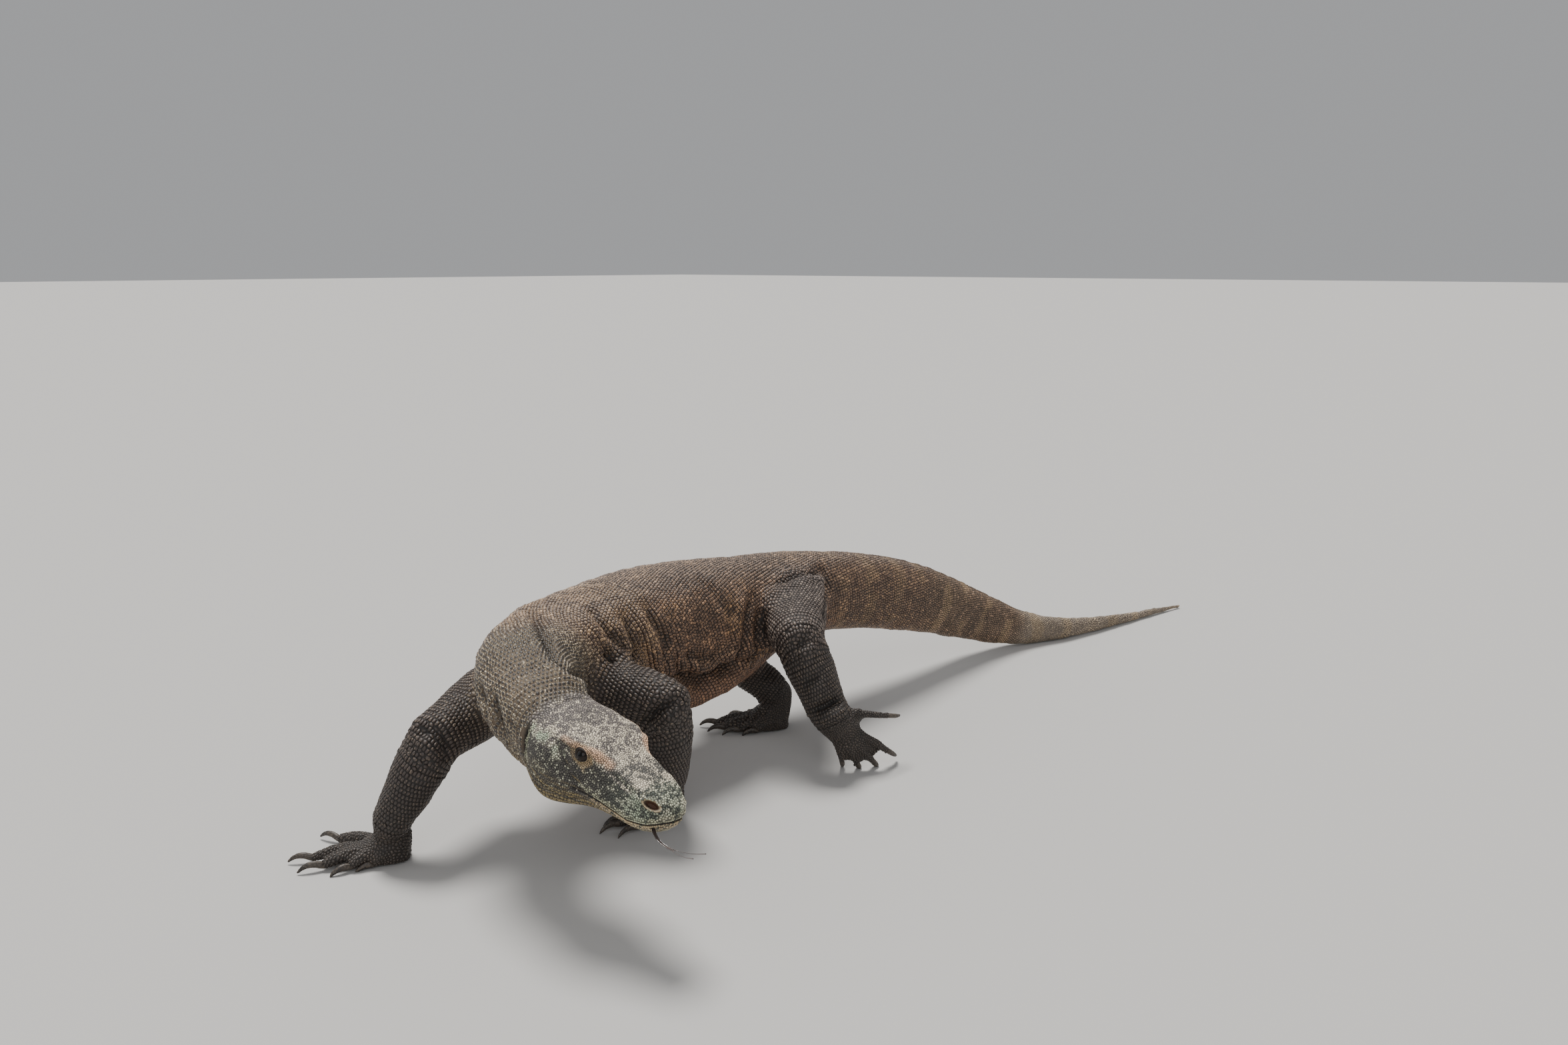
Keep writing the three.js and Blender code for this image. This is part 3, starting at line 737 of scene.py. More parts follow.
# creases of the hide: width, depth and height of the bulge beside it in mm, then points along each crease,
# as metres along the spine, or a limb and metres along it, and degrees round it (0 the left side, 90 the top)
folds = {
    "hip top": (11, 2.8, 1.8, [(0.729, 39), ("hind_left", 0.004, 78), (0.857, 39), (0.889, 47)]),
    "behind the thigh": (13, 5.0, 2.2, [(0.889, 45), (0.881, 25), ("hind_left", 0.012, 160),
        ("hind_left", 0.096, 142)]),
    "before the thigh": (14, 5.6, -2.2, [(0.681, 22), (0.669, 8), (0.673, -6)]),
    "flank, behind": (12, 3.6, 2.4, [(0.657, 35), (0.633, 25), (0.621, 9), (0.617, -10), (0.584, -26)]),
    "flank, ahead": (11, 2.8, 1.6, [(0.661, 22), (0.653, 5), (0.661, -12), (0.657, -32), (0.649, -41)]),
    "under the flank": (20, 9.5, 5.6, [(0.464, -18), (0.500, -32), (0.536, -38), (0.564, -31), (0.596, -31),
        (0.629, -28)]),
    "sag": (12, 2.8, 2.0, [(0.472, -4), (0.528, -11), (0.56, -11)]),
    "behind the shoulder": (14, 4.6, 2.4, [(0.340, 41), (0.340, 26), (0.352, 7),
        ("fore_left", 0.024, 113)]),
    "second behind it": (12, 3.2, 1.8, [(0.396, 48), (0.396, 33), (0.42, 15), (0.432, -2)]),
    "armpit": (12, 6.8, 0, [(0.26, 17), ("fore_left", 0.0, 79), ("fore_left", 0.012, 80)]),
    "slanting": (14, 1.5, 1.2, [(0.536, 65), (0.552, 53), (0.568, 35), (0.605, 18)]),
    "shoulder top": (11, 2.8, 1.4, [(0.296, 65), (0.28, 47), (0.288, 28), (0.316, 14)]),
    "base of the neck": (12, 4.4, 2.4, [(0.248, 112), (0.148, 79), (0.084, 77), (0.052, 63), (0.188, -8)]),
    "neck, outer": (11, 3.6, 2.2, [(0.116, 164), (0.088, 170), (0.08, -168)]),
    "neck, inner": (11, 3.6, 2.2, [(0.072, 152), (0.052, 170), (0.036, -172)]),
    "right elbow": (12, 2.6, 1.6, [("fore_right", 0.156, 98), ("fore_right", 0.148, 124),
        ("fore_right", 0.148, 147), ("fore_right", 0.152, 172)]),
    "left elbow": (11, 4.6, 2.2, [("fore_left", 0.083, -3), ("fore_left", 0.087, 37),
        ("fore_left", 0.091, 61)]),
    "left ankle": (11, 5.2, 2.4, [("hind_left", 0.248, 14), ("hind_left", 0.248, 69),
        ("hind_left", 0.252, 141)]),
    "left knee": (11, 3.0, 1.6, [("hind_left", 0.156, 48), ("hind_left", 0.152, 96)]),
    "left shank": (11, 2.4, 1.4, [("hind_left", 0.2, 28), ("hind_left", 0.196, 89)]),
}
mirroredFolds = ["flank, behind", "flank, ahead", "under the flank", "sag", "second behind it", "slanting",
                 "shoulder top"]


def rayOnSkin(tree, s, degrees, axis=spineAxis):  # the place on the skin at some degrees round an axis
    place, _, side, rise = axis.sample(s)
    way = side * math.cos(math.radians(degrees)) + rise * math.sin(math.radians(degrees))
    hit = tree.ray_cast(Vector(place), Vector(way), 0.25)[0]
    return None if hit is None else np.array(hit)


foldScale = (1.7, 2.2, 2.6)  # on the width, depth and bulge of every fold of the body


def bodyFold(co, normals, tree, form, path):
    line = [rayOnSkin(tree, *p[-2:], limbAxes[p[0]] if len(p) > 2 else spineAxis) for p in path]
    line = [p for p in line if p is not None]
    if len(line) < 2:
        return np.zeros(len(co)), np.zeros(len(co))
    return foldLift(co, normals, tree, *np.multiply(form, foldScale), line)


bodyForm = {  # heights and spacings in metres
    "wrinkleApart": 0.034,  # wrinkles of loose skin across the flanks
    "wrinkleHigh": 0.0030,
    "foldTurn": -24,  # degrees round the body of the fold above the belly
    "foldDeep": 0.0042,
    "foldRoll": 0.0024,
    "neckApart": 0.024,  # folds of the neck and throat
    "neckHigh": 0.0013,
    "tailRidge": 0.0016,
    "slack": 0.0032,  # slack skin and muscle under the hide everywhere
    "jointApart": 0.011,  # wrinkles round the joints of the limbs
    "bendHigh": 0.0010,
    "wristHigh": 0.0014,
}


def sculptBody(co):
    form = bodyForm
    normals = normalsOf(skinMesh, co)
    folding = treeOf(co, skinTriangles)
    group = groupOf[skinOwners]
    body = spread((group == 1).astype(float), skinEdges, 6)
    onTrunk = body * ramp(spineShare, 0.05, 0.12)
    tangent = spineAxis.tangents[spineAt]
    side = unit(np.cross(tangent, [0, 0, 1]))
    rise = np.cross(side, tangent)
    offset = co - spineAxis.points[spineAt]
    angle = np.arctan2((offset * rise).sum(1), (offset * side).sum(1))  # 90 degrees on the back
    lift = np.zeros(len(co))

    # transverse wrinkles of loose skin on the flanks, deepest low down and behind the shoulder
    belly = nodeStarts["trunk_belly"]
    low = 1 - ramp(np.sin(angle), -0.1, 0.75)
    wave = softNoise(co, 0.06, 3) * 2.2 + softNoise(co, 0.02, 4) * 0.5
    rowShare = spineShare + 0.42 * (offset * rise).sum(axis=1)
    bands = waves(rowShare + 0.012 * wave, form["wrinkleApart"])
    where = hump(spineShare - belly, 0.03, 0.16) * (0.25 + 0.75 * low)
    patchy = ramp(softNoise(co, 0.07, 9), 0.25, 0.6)
    lift += form["wrinkleHigh"] * (bands - 0.35 * bands ** 2) * where * onTrunk * patchy

    # the fold along the flank above the belly
    across = np.where(np.cos(angle) > 0, angle, math.pi - angle)
    across = np.where(across > math.pi, across - 2 * math.pi, across)
    foldGap = (across - math.radians(form["foldTurn"]) + 0.12 * (softNoise(co, 0.05, 5) - 0.5)) * 0.1
    where = ramp(spineShare, belly - 0.06, belly) * (1 - ramp(spineShare, belly + 0.26, belly + 0.34))
    fold = -form["foldDeep"] * hump(foldGap, 0, 0.006) + form["foldRoll"] * hump(foldGap, 0.014, 0.008)
    lift += fold * where * onTrunk

    # folds across the neck behind the head, and loose skin of the throat
    neckEnd = nodeStarts["trunk_front"]
    where = ramp(spineShare, 0.0, 0.03) * (1 - ramp(spineShare, neckEnd, neckEnd + 0.05)) * body
    bands = waves(spineShare + 0.010 * wave, form["neckApart"])
    lift += form["neckHigh"] * bands * where * (1 - ramp(np.sin(angle), 0.0, 0.9))

    # the tail: a low double ridge along its top
    where = ramp(spineShare, nodeStarts["tail_root"] + 0.05, nodeStarts["tail_middle"]) * body
    topGap = (angle - math.pi / 2) * np.linalg.norm(offset, axis=1)
    lift += (form["tailRidge"] * hump(np.abs(topGap), 0.003, 0.0022)) * where

    lumps = softNoise(co, 0.045, 7) - 0.5 + 0.6 * (softNoise(co, 0.018, 8) - 0.5)
    lift += form["slack"] * lumps * np.where(group == 0, 0.25, 1.0) * np.where(isFoot[skinOwners], 0.3, 1.0)

    # the painted shade of the creases, kept at its strongest where folds cross
    creases = np.zeros(len(co))
    for name, (width, depth, ridge, path) in folds.items():
        made = [bodyFold(co, normals, folding, (width, depth, ridge), path)]
        if name in mirroredFolds:
            mirrored = [(s, 180 - degrees) for s, degrees in path]
            made.append(bodyFold(co, normals, folding, (width, depth, -ridge), mirrored))
        for raised, dark in made:
            lift += raised
            creases = np.maximum(creases, dark)

    # wrinkles round the elbows, knees, wrists and ankles
    for k, (name, axis) in enumerate(limbAxes.items()):
        mine = spread((group == 2 + k).astype(float), skinEdges, 4)
        s = axis.distance(co)
        rows = waves(s + 0.005 * wave, form["jointApart"])
        lift += form["bendHigh"] * rows * hump(s, limbBends[name], 0.035) * mine
        lift += form["wristHigh"] * rows * hump(s, axis.length - 0.004, 0.03) * mine
    lift = np.where(co[:, 2] < 0.004, np.minimum(lift, 0), lift)
    return co + normals * lift[:, None], angle, creases


skinPoints, bodyAngle, creaseShade = sculptBody(skinPoints)
skinPoints[:, 2] = np.maximum(skinPoints[:, 2], 0.0006)
skinNormals = normalsOf(skinMesh, skinPoints)
print("body sculpted")


skinTree = treeOf(skinPoints, skinTriangles)


def onSkin(points):  # the nearest places on the skin: points, triangles and shares of the corners
    found = [skinTree.find_nearest(Vector(p)) for p in points]
    places = np.array([f[0] for f in found])
    faces = np.array([f[2] for f in found])
    return places, faces, cornerShares(places, faces)


def cornerShares(places, faces):
    a, b, c = (skinPoints[skinTriangles[faces, k]] for k in range(3))
    ab, ac, ap = b - a, c - a, places - a
    d00, d01, d11 = (ab * ab).sum(1), (ab * ac).sum(1), (ac * ac).sum(1)
    d20, d21 = (ap * ab).sum(1), (ap * ac).sum(1)
    scale = np.maximum(d00 * d11 - d01 * d01, 1e-18)
    v = np.clip((d11 * d20 - d01 * d21) / scale, 0, 1)
    w = np.clip((d00 * d21 - d01 * d20) / scale, 0, 1)
    return np.stack([np.clip(1 - v - w, 0, 1), v, w], axis=1)


def sampled(field, faces, shares):  # a field of the skin's points, read at places on its triangles
    corners = field[skinTriangles[faces]]
    return (corners * (shares if field.ndim == 1 else shares[:, :, None])).sum(axis=1)


# zones of the hide: scale tops, gaps between them, pale specks, share of specks, share of small grains,
# spacing along the body and across it and height, in mm
# the dark gap tones of the head, trunk, tail and limbs are partly painted shade between the scales; the neck's
# cream gaps are its own colour
zones = {
    "head": ("33322f", "232220", "c3b69c", 0.0, 0.0, 2.65, 2.65, 0.36),
    "throat": ("6b5b45", "3f352b", "a5926a", 0.35, 0.0, 4.2, 4.2, 0.55),
    "neck": ("373230", "5c4e3f", "f6e4c4", 0.76, 1.0, 6.8, 6.2, 1.60),
    "shoulder": ("5f4c40", "362a23", "d9b48a", 0.50, 1.0, 7.2, 6.0, 1.25),
    "flank": ("594639", "2b211c", "c79d7a", 0.36, 0.0, 7.2, 5.6, 1.15),
    "belly": ("7a5a46", "3a2b23", "b28260", 0.25, 0.0, 7.4, 5.8, 0.60),
    "tailRoot": ("654f41", "30261f", "c09a76", 0.30, 0.0, 7.0, 5.5, 1.10),
    "tail": ("64513f", "352b24", "b8967a", 0.28, 0.0, 6.0, 4.9, 0.90),
    "tailTip": ("85786a", "4a4038", "c4b092", 0.30, 0.0, 4.4, 4.0, 0.60),
    "upperArm": ("453a34", "1f1a17", "93826f", 0.14, 0.0, 7.0, 5.9, 1.10),
    "forearm": ("3b322d", "1b1715", "80705f", 0.12, 0.0, 6.8, 5.6, 1.00),
    "thigh": ("544842", "231e1b", "ab9a8c", 0.18, 0.0, 7.0, 5.8, 1.10),
    "shank": ("3e3530", "1d1916", "84735f", 0.12, 0.0, 6.6, 5.4, 1.00),
    "foot": ("362f2a", "191513", "6a5c50", 0.2, 0.0, 3.9, 3.9, 0.60),
}
zoneTops, zoneGapsAndShade, zoneSpecks = (np.array([linear(z[k]) for z in zones.values()]) for k in (0, 1, 2))
zoneChance, zoneGrains = (np.array([z[k] for z in zones.values()]) for k in (3, 4))
zoneAlong, zoneAcross, zoneHeight = (0.001 * np.array([z[k] for z in zones.values()]) for k in (5, 6, 7))
zoneOfNode = {
    "head": "head", "lower_jaw": "head", "neck": "neck", "trunk_front": "shoulder", "trunk_belly": "flank",
    "trunk_hips": "flank", "tail_root": "tailRoot", "tail_middle": "tail", "tail_tip": "tailTip",
}
for nodes in limbNodes.values():
    fore = nodes[0].startswith("upper")
    zoneOfNode[nodes[0]] = "upperArm" if fore else "thigh"
    zoneOfNode[nodes[1]] = "forearm" if fore else "shank"
    zoneOfNode[nodes[2]] = "foot"


def zoneShares():  # how much of each zone there is at each point of the skin
    parts = np.zeros((len(skinPoints), 2 + len(limbNodes)))
    parts[np.arange(len(skinPoints)), groupOf[skinOwners]] = 1
    parts = spread(parts, skinEdges, 40, 0.6)
    shares = np.zeros((len(skinPoints), len(zones)))
    zone = dict(zip(zones, shares.T))  # each is a view of its own column
    warp = softNoise(skinPoints, 0.05, 61) * 0.7 + softNoise(skinPoints, 0.02, 62) * 0.3 - 0.5
    starts = {zoneOfNode[name]: start for name, start in nodeStarts.items() if name != "trunk_hips"}
    left = parts[:, 1].copy()
    for name, end in zip(["neck", *starts], [*starts.values(), 9.0]):
        passed = ramp(spineShare + 0.07 * warp, end - 0.045, end + 0.045)
        zone[name] += left * (1 - passed)
        left = left * passed
    for k, (limb, nodes) in enumerate(limbNodes.items()):
        axis, bend = limbAxes[limb], limbBends[limb]
        s = axis.distance(skinPoints) + 0.04 * warp
        lower, foot = ramp(s, bend - 0.03, bend + 0.03), ramp(s, axis.length - 0.02, axis.length + 0.003)
        for name, share in zip(nodes, ((1 - lower), lower * (1 - foot), lower * foot)):
            zone[zoneOfNode[name]] += parts[:, 2 + k] * share
    zone["head"] += parts[:, 0]
    h = toHead(skinPoints)
    moved = [  # zones that give way underneath, what takes their place, and how much of them goes
        ("head", "throat", ramp(-h[:, 2], 0.030, 0.046) * ramp(-skinNormals[:, 2], -0.1, 0.4)),
        ("neck", "throat", 1 - ramp(np.sin(bodyAngle), -0.75, -0.2)),
        ("shoulder", "belly", 1 - ramp(np.sin(bodyAngle) + 0.2 * warp, -0.80, -0.40)),
        ("flank", "belly", 1 - ramp(np.sin(bodyAngle) + 0.2 * warp, -0.80, -0.40)),
    ]
    for name, under, share in moved:
        gone = zone[name] * share
        zone[name] -= gone
        zone[under] += gone
    return shares / np.maximum(shares.sum(axis=1, keepdims=True), 1e-6)


skinZones = zoneShares()
skinHead = toHead(skinPoints)
isHead = spread((groupOf[skinOwners] == 0).astype(float), skinEdges, 3)


def lidGap(h):  # distance from the middle of the nearer eye, in sizes of the lids' opening
    side = np.where(h[:, 1] > 0, 1, -1)
    gap = np.full(len(h), 9.0)
    for s in (1, -1):
        a, b, out = holePlane(lids, h, s)
        g = ovalShare(lids, a, b) + np.maximum(-out, 0) * 200
        gap = np.where(side == s, g, gap)
    return gap


def scaleSpacing():  # spacing of the scales at each point of the skin, in metres
    headFine, toesFiner = 0.0019, 0.12
    spacing = skinZones @ ((zoneAlong + zoneAcross) / 2)
    fine = headFine + (spacing - headFine) * ramp(lidGap(skinHead), 1.2, 3.0)
    fine = fine * (1 + 0.10 * ramp(skinHead[:, 0], 0.17, 0.22))
    spacing = spacing + (fine - spacing) * ramp(isHead, 0.3, 0.7)
    return spacing * (1 - toesFiner * isFoot[skinOwners])


skinSpacing = scaleSpacing()


def lieOfScales():  # the way the scales' hind edges point: along the body to the tail, and down the limbs
    lie = spineAxis.tangents[spineAt].copy()
    group = groupOf[skinOwners]
    for k, axis in enumerate(limbAxes.values()):
        mine = group == 2 + k
        lie[mine] = axis.tangents[axis.nearest(skinPoints[mine])]
        foot = mine & isFoot[skinOwners]
        away = skinPoints[foot] - axis.points[-1]
        lie[foot] = unit(unit(away) * (1, 1, 0.2) + 0.25 * axis.tangents[-1])
    lie[group == 0] = -headTurn[:, 0]
    return alongSurface(spread(lie, skinEdges, 12, 0.6), skinNormals)


skinLie = lieOfScales()


def rowLean(s):  # how far the rows of the trunk lean, lower ends towards the tail
    return 0.42 * ramp(s, 0.12, 0.32) * (1 - 0.7 * ramp(s, 0.85, 1.05))


def latticeRows(axis, group, lastAt, spacing, rays):  # rows of places round an axis, every other one shifted
    rows, s, odd = [], 0.0, 0
    angles = np.linspace(0, 2 * math.pi, rays, endpoint=False)
    while s < lastAt:
        place, tangent, side, rise = axis.sample(s)
        lean = rowLean(s) if axis is spineAxis else 0.0
        along, across = spacing(s)
        ring = np.full((rays, 3), np.nan)
        for j, a in enumerate(angles):  # from the top, round by the side
            way = rise * math.cos(a) + side * math.sin(a) - tangent * lean * math.cos(a)
            hit = skinTree.ray_cast(Vector(place), Vector(way), 0.25)
            if hit[0] is not None:
                ring[j] = hit[0]
        loop = np.concatenate([ring, ring[:1]])
        step = np.linalg.norm(np.diff(loop, axis=0), axis=1)
        if not np.isnan(step).all():
            length = np.concatenate([[0], np.cumsum(np.where(np.isnan(step), 0, step))])
            count = max(6, round(length[-1] / across))
            at = (np.arange(count) + 0.5 * odd) * length[-1] / count
            solid = np.nan_to_num(loop, nan=1e3)
            row = np.stack([np.interp(at, length, solid[:, k]) for k in range(3)], axis=1)
            torn = np.interp(at, (length[1:] + length[:-1]) / 2, np.where(np.isnan(step), 9, step)) > 0.03
            rows.append(row[~torn])
        s += along
        odd = 1 - odd
    points, faces, _ = onSkin(np.concatenate(rows))
    kept = groupOf[skinOwners[skinTriangles[faces, 0]]] == group
    return points[kept], faces[kept]


trunkZones = [list(zones).index(name) for name in (
    "neck", "shoulder", "flank", "tailRoot", "tail", "tailTip")]


def spineSpacing(s):
    weights = skinZones[np.abs(spineShare - s) < 0.006][:, trunkZones].sum(axis=0)
    if weights.sum() < 1e-6:
        weights[0] = 1
    weights /= weights.sum()
    return weights @ zoneAlong[trunkZones], weights @ zoneAcross[trunkZones]


def limbSpacing(name, s):
    length = limbAxes[name].length
    lower = np.interp(s, [0, length * 0.45, length * 0.55, length], [0, 0, 1, 1])
    a, b = (list(zones).index(zoneOfNode[node]) for node in limbNodes[name][:2])
    return [size[a] + (size[b] - size[a]) * lower for size in (zoneAlong, zoneAcross)]


packing = {
    "spineRays": 112,  # rays round the trunk that find a row's places, and round a limb
    "limbRays": 72,
    "tries": 4.5,  # loose places tried for each one that fits
    "apart": 0.86,  # least room of a loose place, in spacings, and of one in a row
    "rowApart": 0.60,
    "evenRounds": 3,
    "evenApart": 1.08,  # room that neighbours push each other to, and how hard
    "rowPush": 0.08,
    "loosePush": 0.28,
}


def placeScales():  # rows first, then loose places wherever they leave room
    rows = [latticeRows(spineAxis, 1, spineAxis.length - 0.004, spineSpacing, packing["spineRays"])]
    for k, (name, axis) in enumerate(limbAxes.items()):
        spacing = functools.partial(limbSpacing, name)
        rows.append(latticeRows(axis, 2 + k, axis.length, spacing, packing["limbRays"]))
    places, faces = (np.concatenate([row[k] for row in rows]) for k in (0, 1))
    ordered = len(places)
    spacing = sampled(skinSpacing, faces, cornerShares(places, faces))
    triangleSpacing = skinSpacing[skinTriangles].mean(axis=1)
    wanted = int((faceAreas(skinPoints, skinTriangles) / triangleSpacing ** 2).sum() * packing["tries"])
    extra, chosen = scatterOn(skinPoints, skinTriangles, wanted, 11, 1 / triangleSpacing ** 2)
    places = np.concatenate([places, extra])
    faces = np.concatenate([faces, chosen])
    spacing = np.concatenate([spacing, triangleSpacing[chosen]])
    tree = pointTree(places)
    free = np.ones(len(places), bool)
    kept = []
    for i, (p, gap) in enumerate(zip(places.tolist(), spacing.tolist())):
        if not free[i]:
            continue
        kept.append(i)
        for _, j, distance in tree.find_range(p, packing["apart"] * gap):
            if j > i and (j >= ordered or distance < packing["rowApart"] * gap):
                free[j] = False
    kept = np.array(kept)
    return places[kept], faces[kept], kept < ordered


def neighboursOf(places, count):
    tree = pointTree(places)
    return np.array([[f[1] for f in tree.find_n(p, count + 1)][1:] for p in places.tolist()])


def relaxed(places, faces, inRows):  # evens out the gaps between the scales that stand in no row
    push = np.where(inRows, packing["rowPush"], packing["loosePush"])[:, None]
    for _ in range(packing["evenRounds"]):
        near = neighboursOf(places, 7)
        spacing = sampled(skinSpacing, faces, cornerShares(places, faces))
        away = places[:, None] - places[near]
        gap = np.linalg.norm(away, axis=2)
        short = np.maximum(spacing[:, None] * packing["evenApart"] - gap, 0) / np.maximum(gap, 1e-6)
        places, faces, shares = onSkin(places + (away * short[:, :, None]).sum(axis=1) * push)
    return places, faces, shares


scalePlaces, scaleFaces, inRows = placeScales()
print("scales placed", len(scalePlaces), "of them in rows", int(inRows.sum()))
scalePlaces, scaleFaces, scaleShares = relaxed(scalePlaces, scaleFaces, inRows)
print("scales evened out")

scaleCount = len(scalePlaces)
scaleNormals = unit(sampled(skinNormals, scaleFaces, scaleShares))
scaleLie = alongSurface(sampled(skinLie, scaleFaces, scaleShares), scaleNormals)
scaleZones = sampled(skinZones, scaleFaces, scaleShares)
scaleSize = sampled(skinSpacing, scaleFaces, scaleShares)
chances = np.random.default_rng(5).random((scaleCount, 6))


headTones = {name: linear(tone) for name, tone in {
    "crown": "736b66", "cheek": "47443f", "snoutGround": "474d44", "cream": "ecdfc6", "green": "b3bfa4",
    "lip": "b9b899", "lowerLip": "bfa984", "brow": "ebc09c", "lid": "342b25", "lidEdge": "b39a74",
    "ear": "b1b493", "throat": "54472f", "throatStripe": "9c8856", "mouth": "1c1613", "nostril": "6b4631",
    "nostrilRim": "cdb48c",
}.items()}
palePatches = [  # middle, radius, tone and strength of the larger pale marks on the side of the head
    ((0.185, 0.022, 0.021), 0.0075, "cream", 1.0),
    ((0.030, 0.065, 0.018), 0.0085, "green", 0.9),
    ((0.041, 0.064, 0.022), 0.0080, "green", 0.9),
    ((0.008, 0.057, 0.018), 0.0080, "green", 0.6),
    ((0.063, 0.062, 0.015), 0.0060, "green", 0.7),
    ((0.077, 0.061, 0.016), 0.0050, "green", 0.6),
    ((0.047, 0.055, 0.033), 0.0060, "cream", 0.5),
    ((0.121, 0.043, 0.031), 0.0068, "brow", 1.3),
    ((0.186, 0.038, 0.008), 0.0080, "green", 0.7),
    ((0.200, 0.036, -0.012), 0.0100, "green", 0.7),
    ((0.182, 0.039, -0.010), 0.0080, "green", 0.6),
    ((0.230, 0.020, 0.004), 0.0120, "cream", 0.4),
    ((0.140, 0.012, 0.030), 0.0140, "cream", 0.5),
    ((0.108, 0.053, 0.008), 0.0060, "lidEdge", 0.7),
]
fleckSizes = [(0.0014, 0.26), (0.0026, 0.38), (0.006, 0.22), (0.016, 0.14)]  # and how much each counts


def paintHead(places, normals, chance):
    h = toHead(places)
    x, y, z = h[:, 0], np.abs(h[:, 1]), h[:, 2]
    mirrored = h * np.where(h[:, 1:2] < 0, (1, -1, 1), 1)
    top = ramp(normals @ headTurn[:, 2], 0.15, 0.6)
    snout = ramp(x, 0.175, 0.215)
    clump = sum(softNoise(places, size, 41 + k) * weight for k, (size, weight) in enumerate(fleckSizes))
    # the ground is painted lighter towards the top of the head: a grey-brown crown tone with a painted sky
    # sheen on the upward faces
    ground = mixed(np.tile(headTones["cheek"], (len(x), 1)), headTones["crown"], top)
    muzzle = np.clip(snout + ramp(x, 0.12, 0.17) * (0.75 - 0.25 * top), 0, 1)
    ground = mixed(ground, headTones["snoutGround"], muzzle)

    # pale flecks in clusters: most between and before the eyes, fewest on the cheeks and before the eyes
    pale = top * (0.18 + 0.30 * ramp(x, 0.02, 0.09) - 0.08 * ramp(x, 0.11, 0.15)) \
        + (1 - top) * (0.12 + 0.14 * ramp(x, 0.13, 0.18)) + 0.08 * snout
    pale = pale - 0.03 * hump(x, 0.158, 0.014) * (1 - top)
    green = np.clip((1 - top) * 0.55 + snout * 0.75, 0, 1)
    tone = mixed(np.tile(headTones["cream"], (len(x), 1)), headTones["green"], green)
    gap, above = mouthDistance(h)
    lip = (1 - ramp(gap, 0.007, 0.013)) * ramp(x, 0.095, 0.13)
    tone = mixed(tone, headTones["lip"], lip * (above > 0))
    tone = mixed(tone, headTones["lowerLip"], lip * (above <= 0))
    pale = pale + (0.62 - pale) * lip
    for middle, radius, name, strength in palePatches:
        near = hump(np.linalg.norm(mirrored - middle, axis=1), 0, radius) * strength
        pale = pale + 0.75 * near
        tone = mixed(tone, headTones[name], np.clip(near * 1.4, 0, 1))
    limit = 0.69 - 0.38 * np.clip(pale, 0, 1.2)
    picked = ramp(clump + 0.14 * (chance[:, 2] - 0.5), limit - 0.04, limit + 0.04)
    colour = mixed(ground * (0.75 + 0.6 * chance[:, 3])[:, None],
                   tone * (0.76 + 0.48 * chance[:, 4])[:, None], 0.92 * picked)

    # the brow, the rim of the lids, the band before the ear, and the striped throat
    line, share = lineGap(mirrored, brows)
    brow = np.exp(-(line / (0.0042 + 0.0040 * ramp(share, 0.45, 0.8))) ** 4) * ramp(share, 0.02, 0.2)
    colour = mixed(colour, headTones["brow"] * (0.85 + 0.3 * chance[:, 4])[:, None], 0.92 * brow)
    ring = lidGap(h)
    front = ramp(x - lids["at"][0], -0.006, 0.006)
    around = (1 - ramp(ring, 1.7, 2.3)) * ramp(ring, 1.05, 1.2)
    colour = mixed(colour, headTones["lidEdge"], around * (0.60 + 0.35 * front) * (0.4 + 0.6 * (z < 0.026)))
    colour = mixed(colour, headTones["lid"], 0.9 * (1 - ramp(ring, 1.12, 1.35)))
    for side in (1, -1):
        a, b, out = holePlane(ears, h, side)
        band = hump(a, 0.0075, 0.0032) * np.exp(-(b / 0.022) ** 4)
        band = band * (np.abs(out) < 0.03) * (h[:, 1] * side > 0)
        colour = mixed(colour, headTones["ear"], 0.75 * band * (0.4 + 0.6 * (chance[:, 2] < 0.7)))
    under = ramp(-(normals @ headTurn[:, 2]), 0.1, 0.5)
    stripes = ramp(waves(z + 0.5 * y + 0.006 * softNoise(places, 0.02, 45), 0.009), -0.2, 0.5)
    throat = mixed(np.tile(headTones["throat"], (len(x), 1)), headTones["throatStripe"], stripes)
    colour = mixed(colour, throat, 0.8 * under * (1 - lip))
    return colour


def headShare(places):
    h = toHead(places)
    near = np.maximum(np.abs(h[:, 1]), np.abs(h[:, 2])) < 0.1
    edge = h[:, 0] + 0.018 * (softNoise(places, 0.012, 63) - 0.5)
    return ramp(edge, -0.010, 0.008) * near


hideTones = {name: linear(tone) for name, tone in {
    "rustSpeck": "b3815e", "rustTop": "573e31", "ochre": "cfa067", "crestSheenSpeck": "c9b39e",
    "crestSheenTop": "665a52", "tailBar": "9c8460", "neckSpeck": "d8d0b6", "neckTop": "9a8c7a",
    "headGapAndShade": "1d1b19",
}.items()}


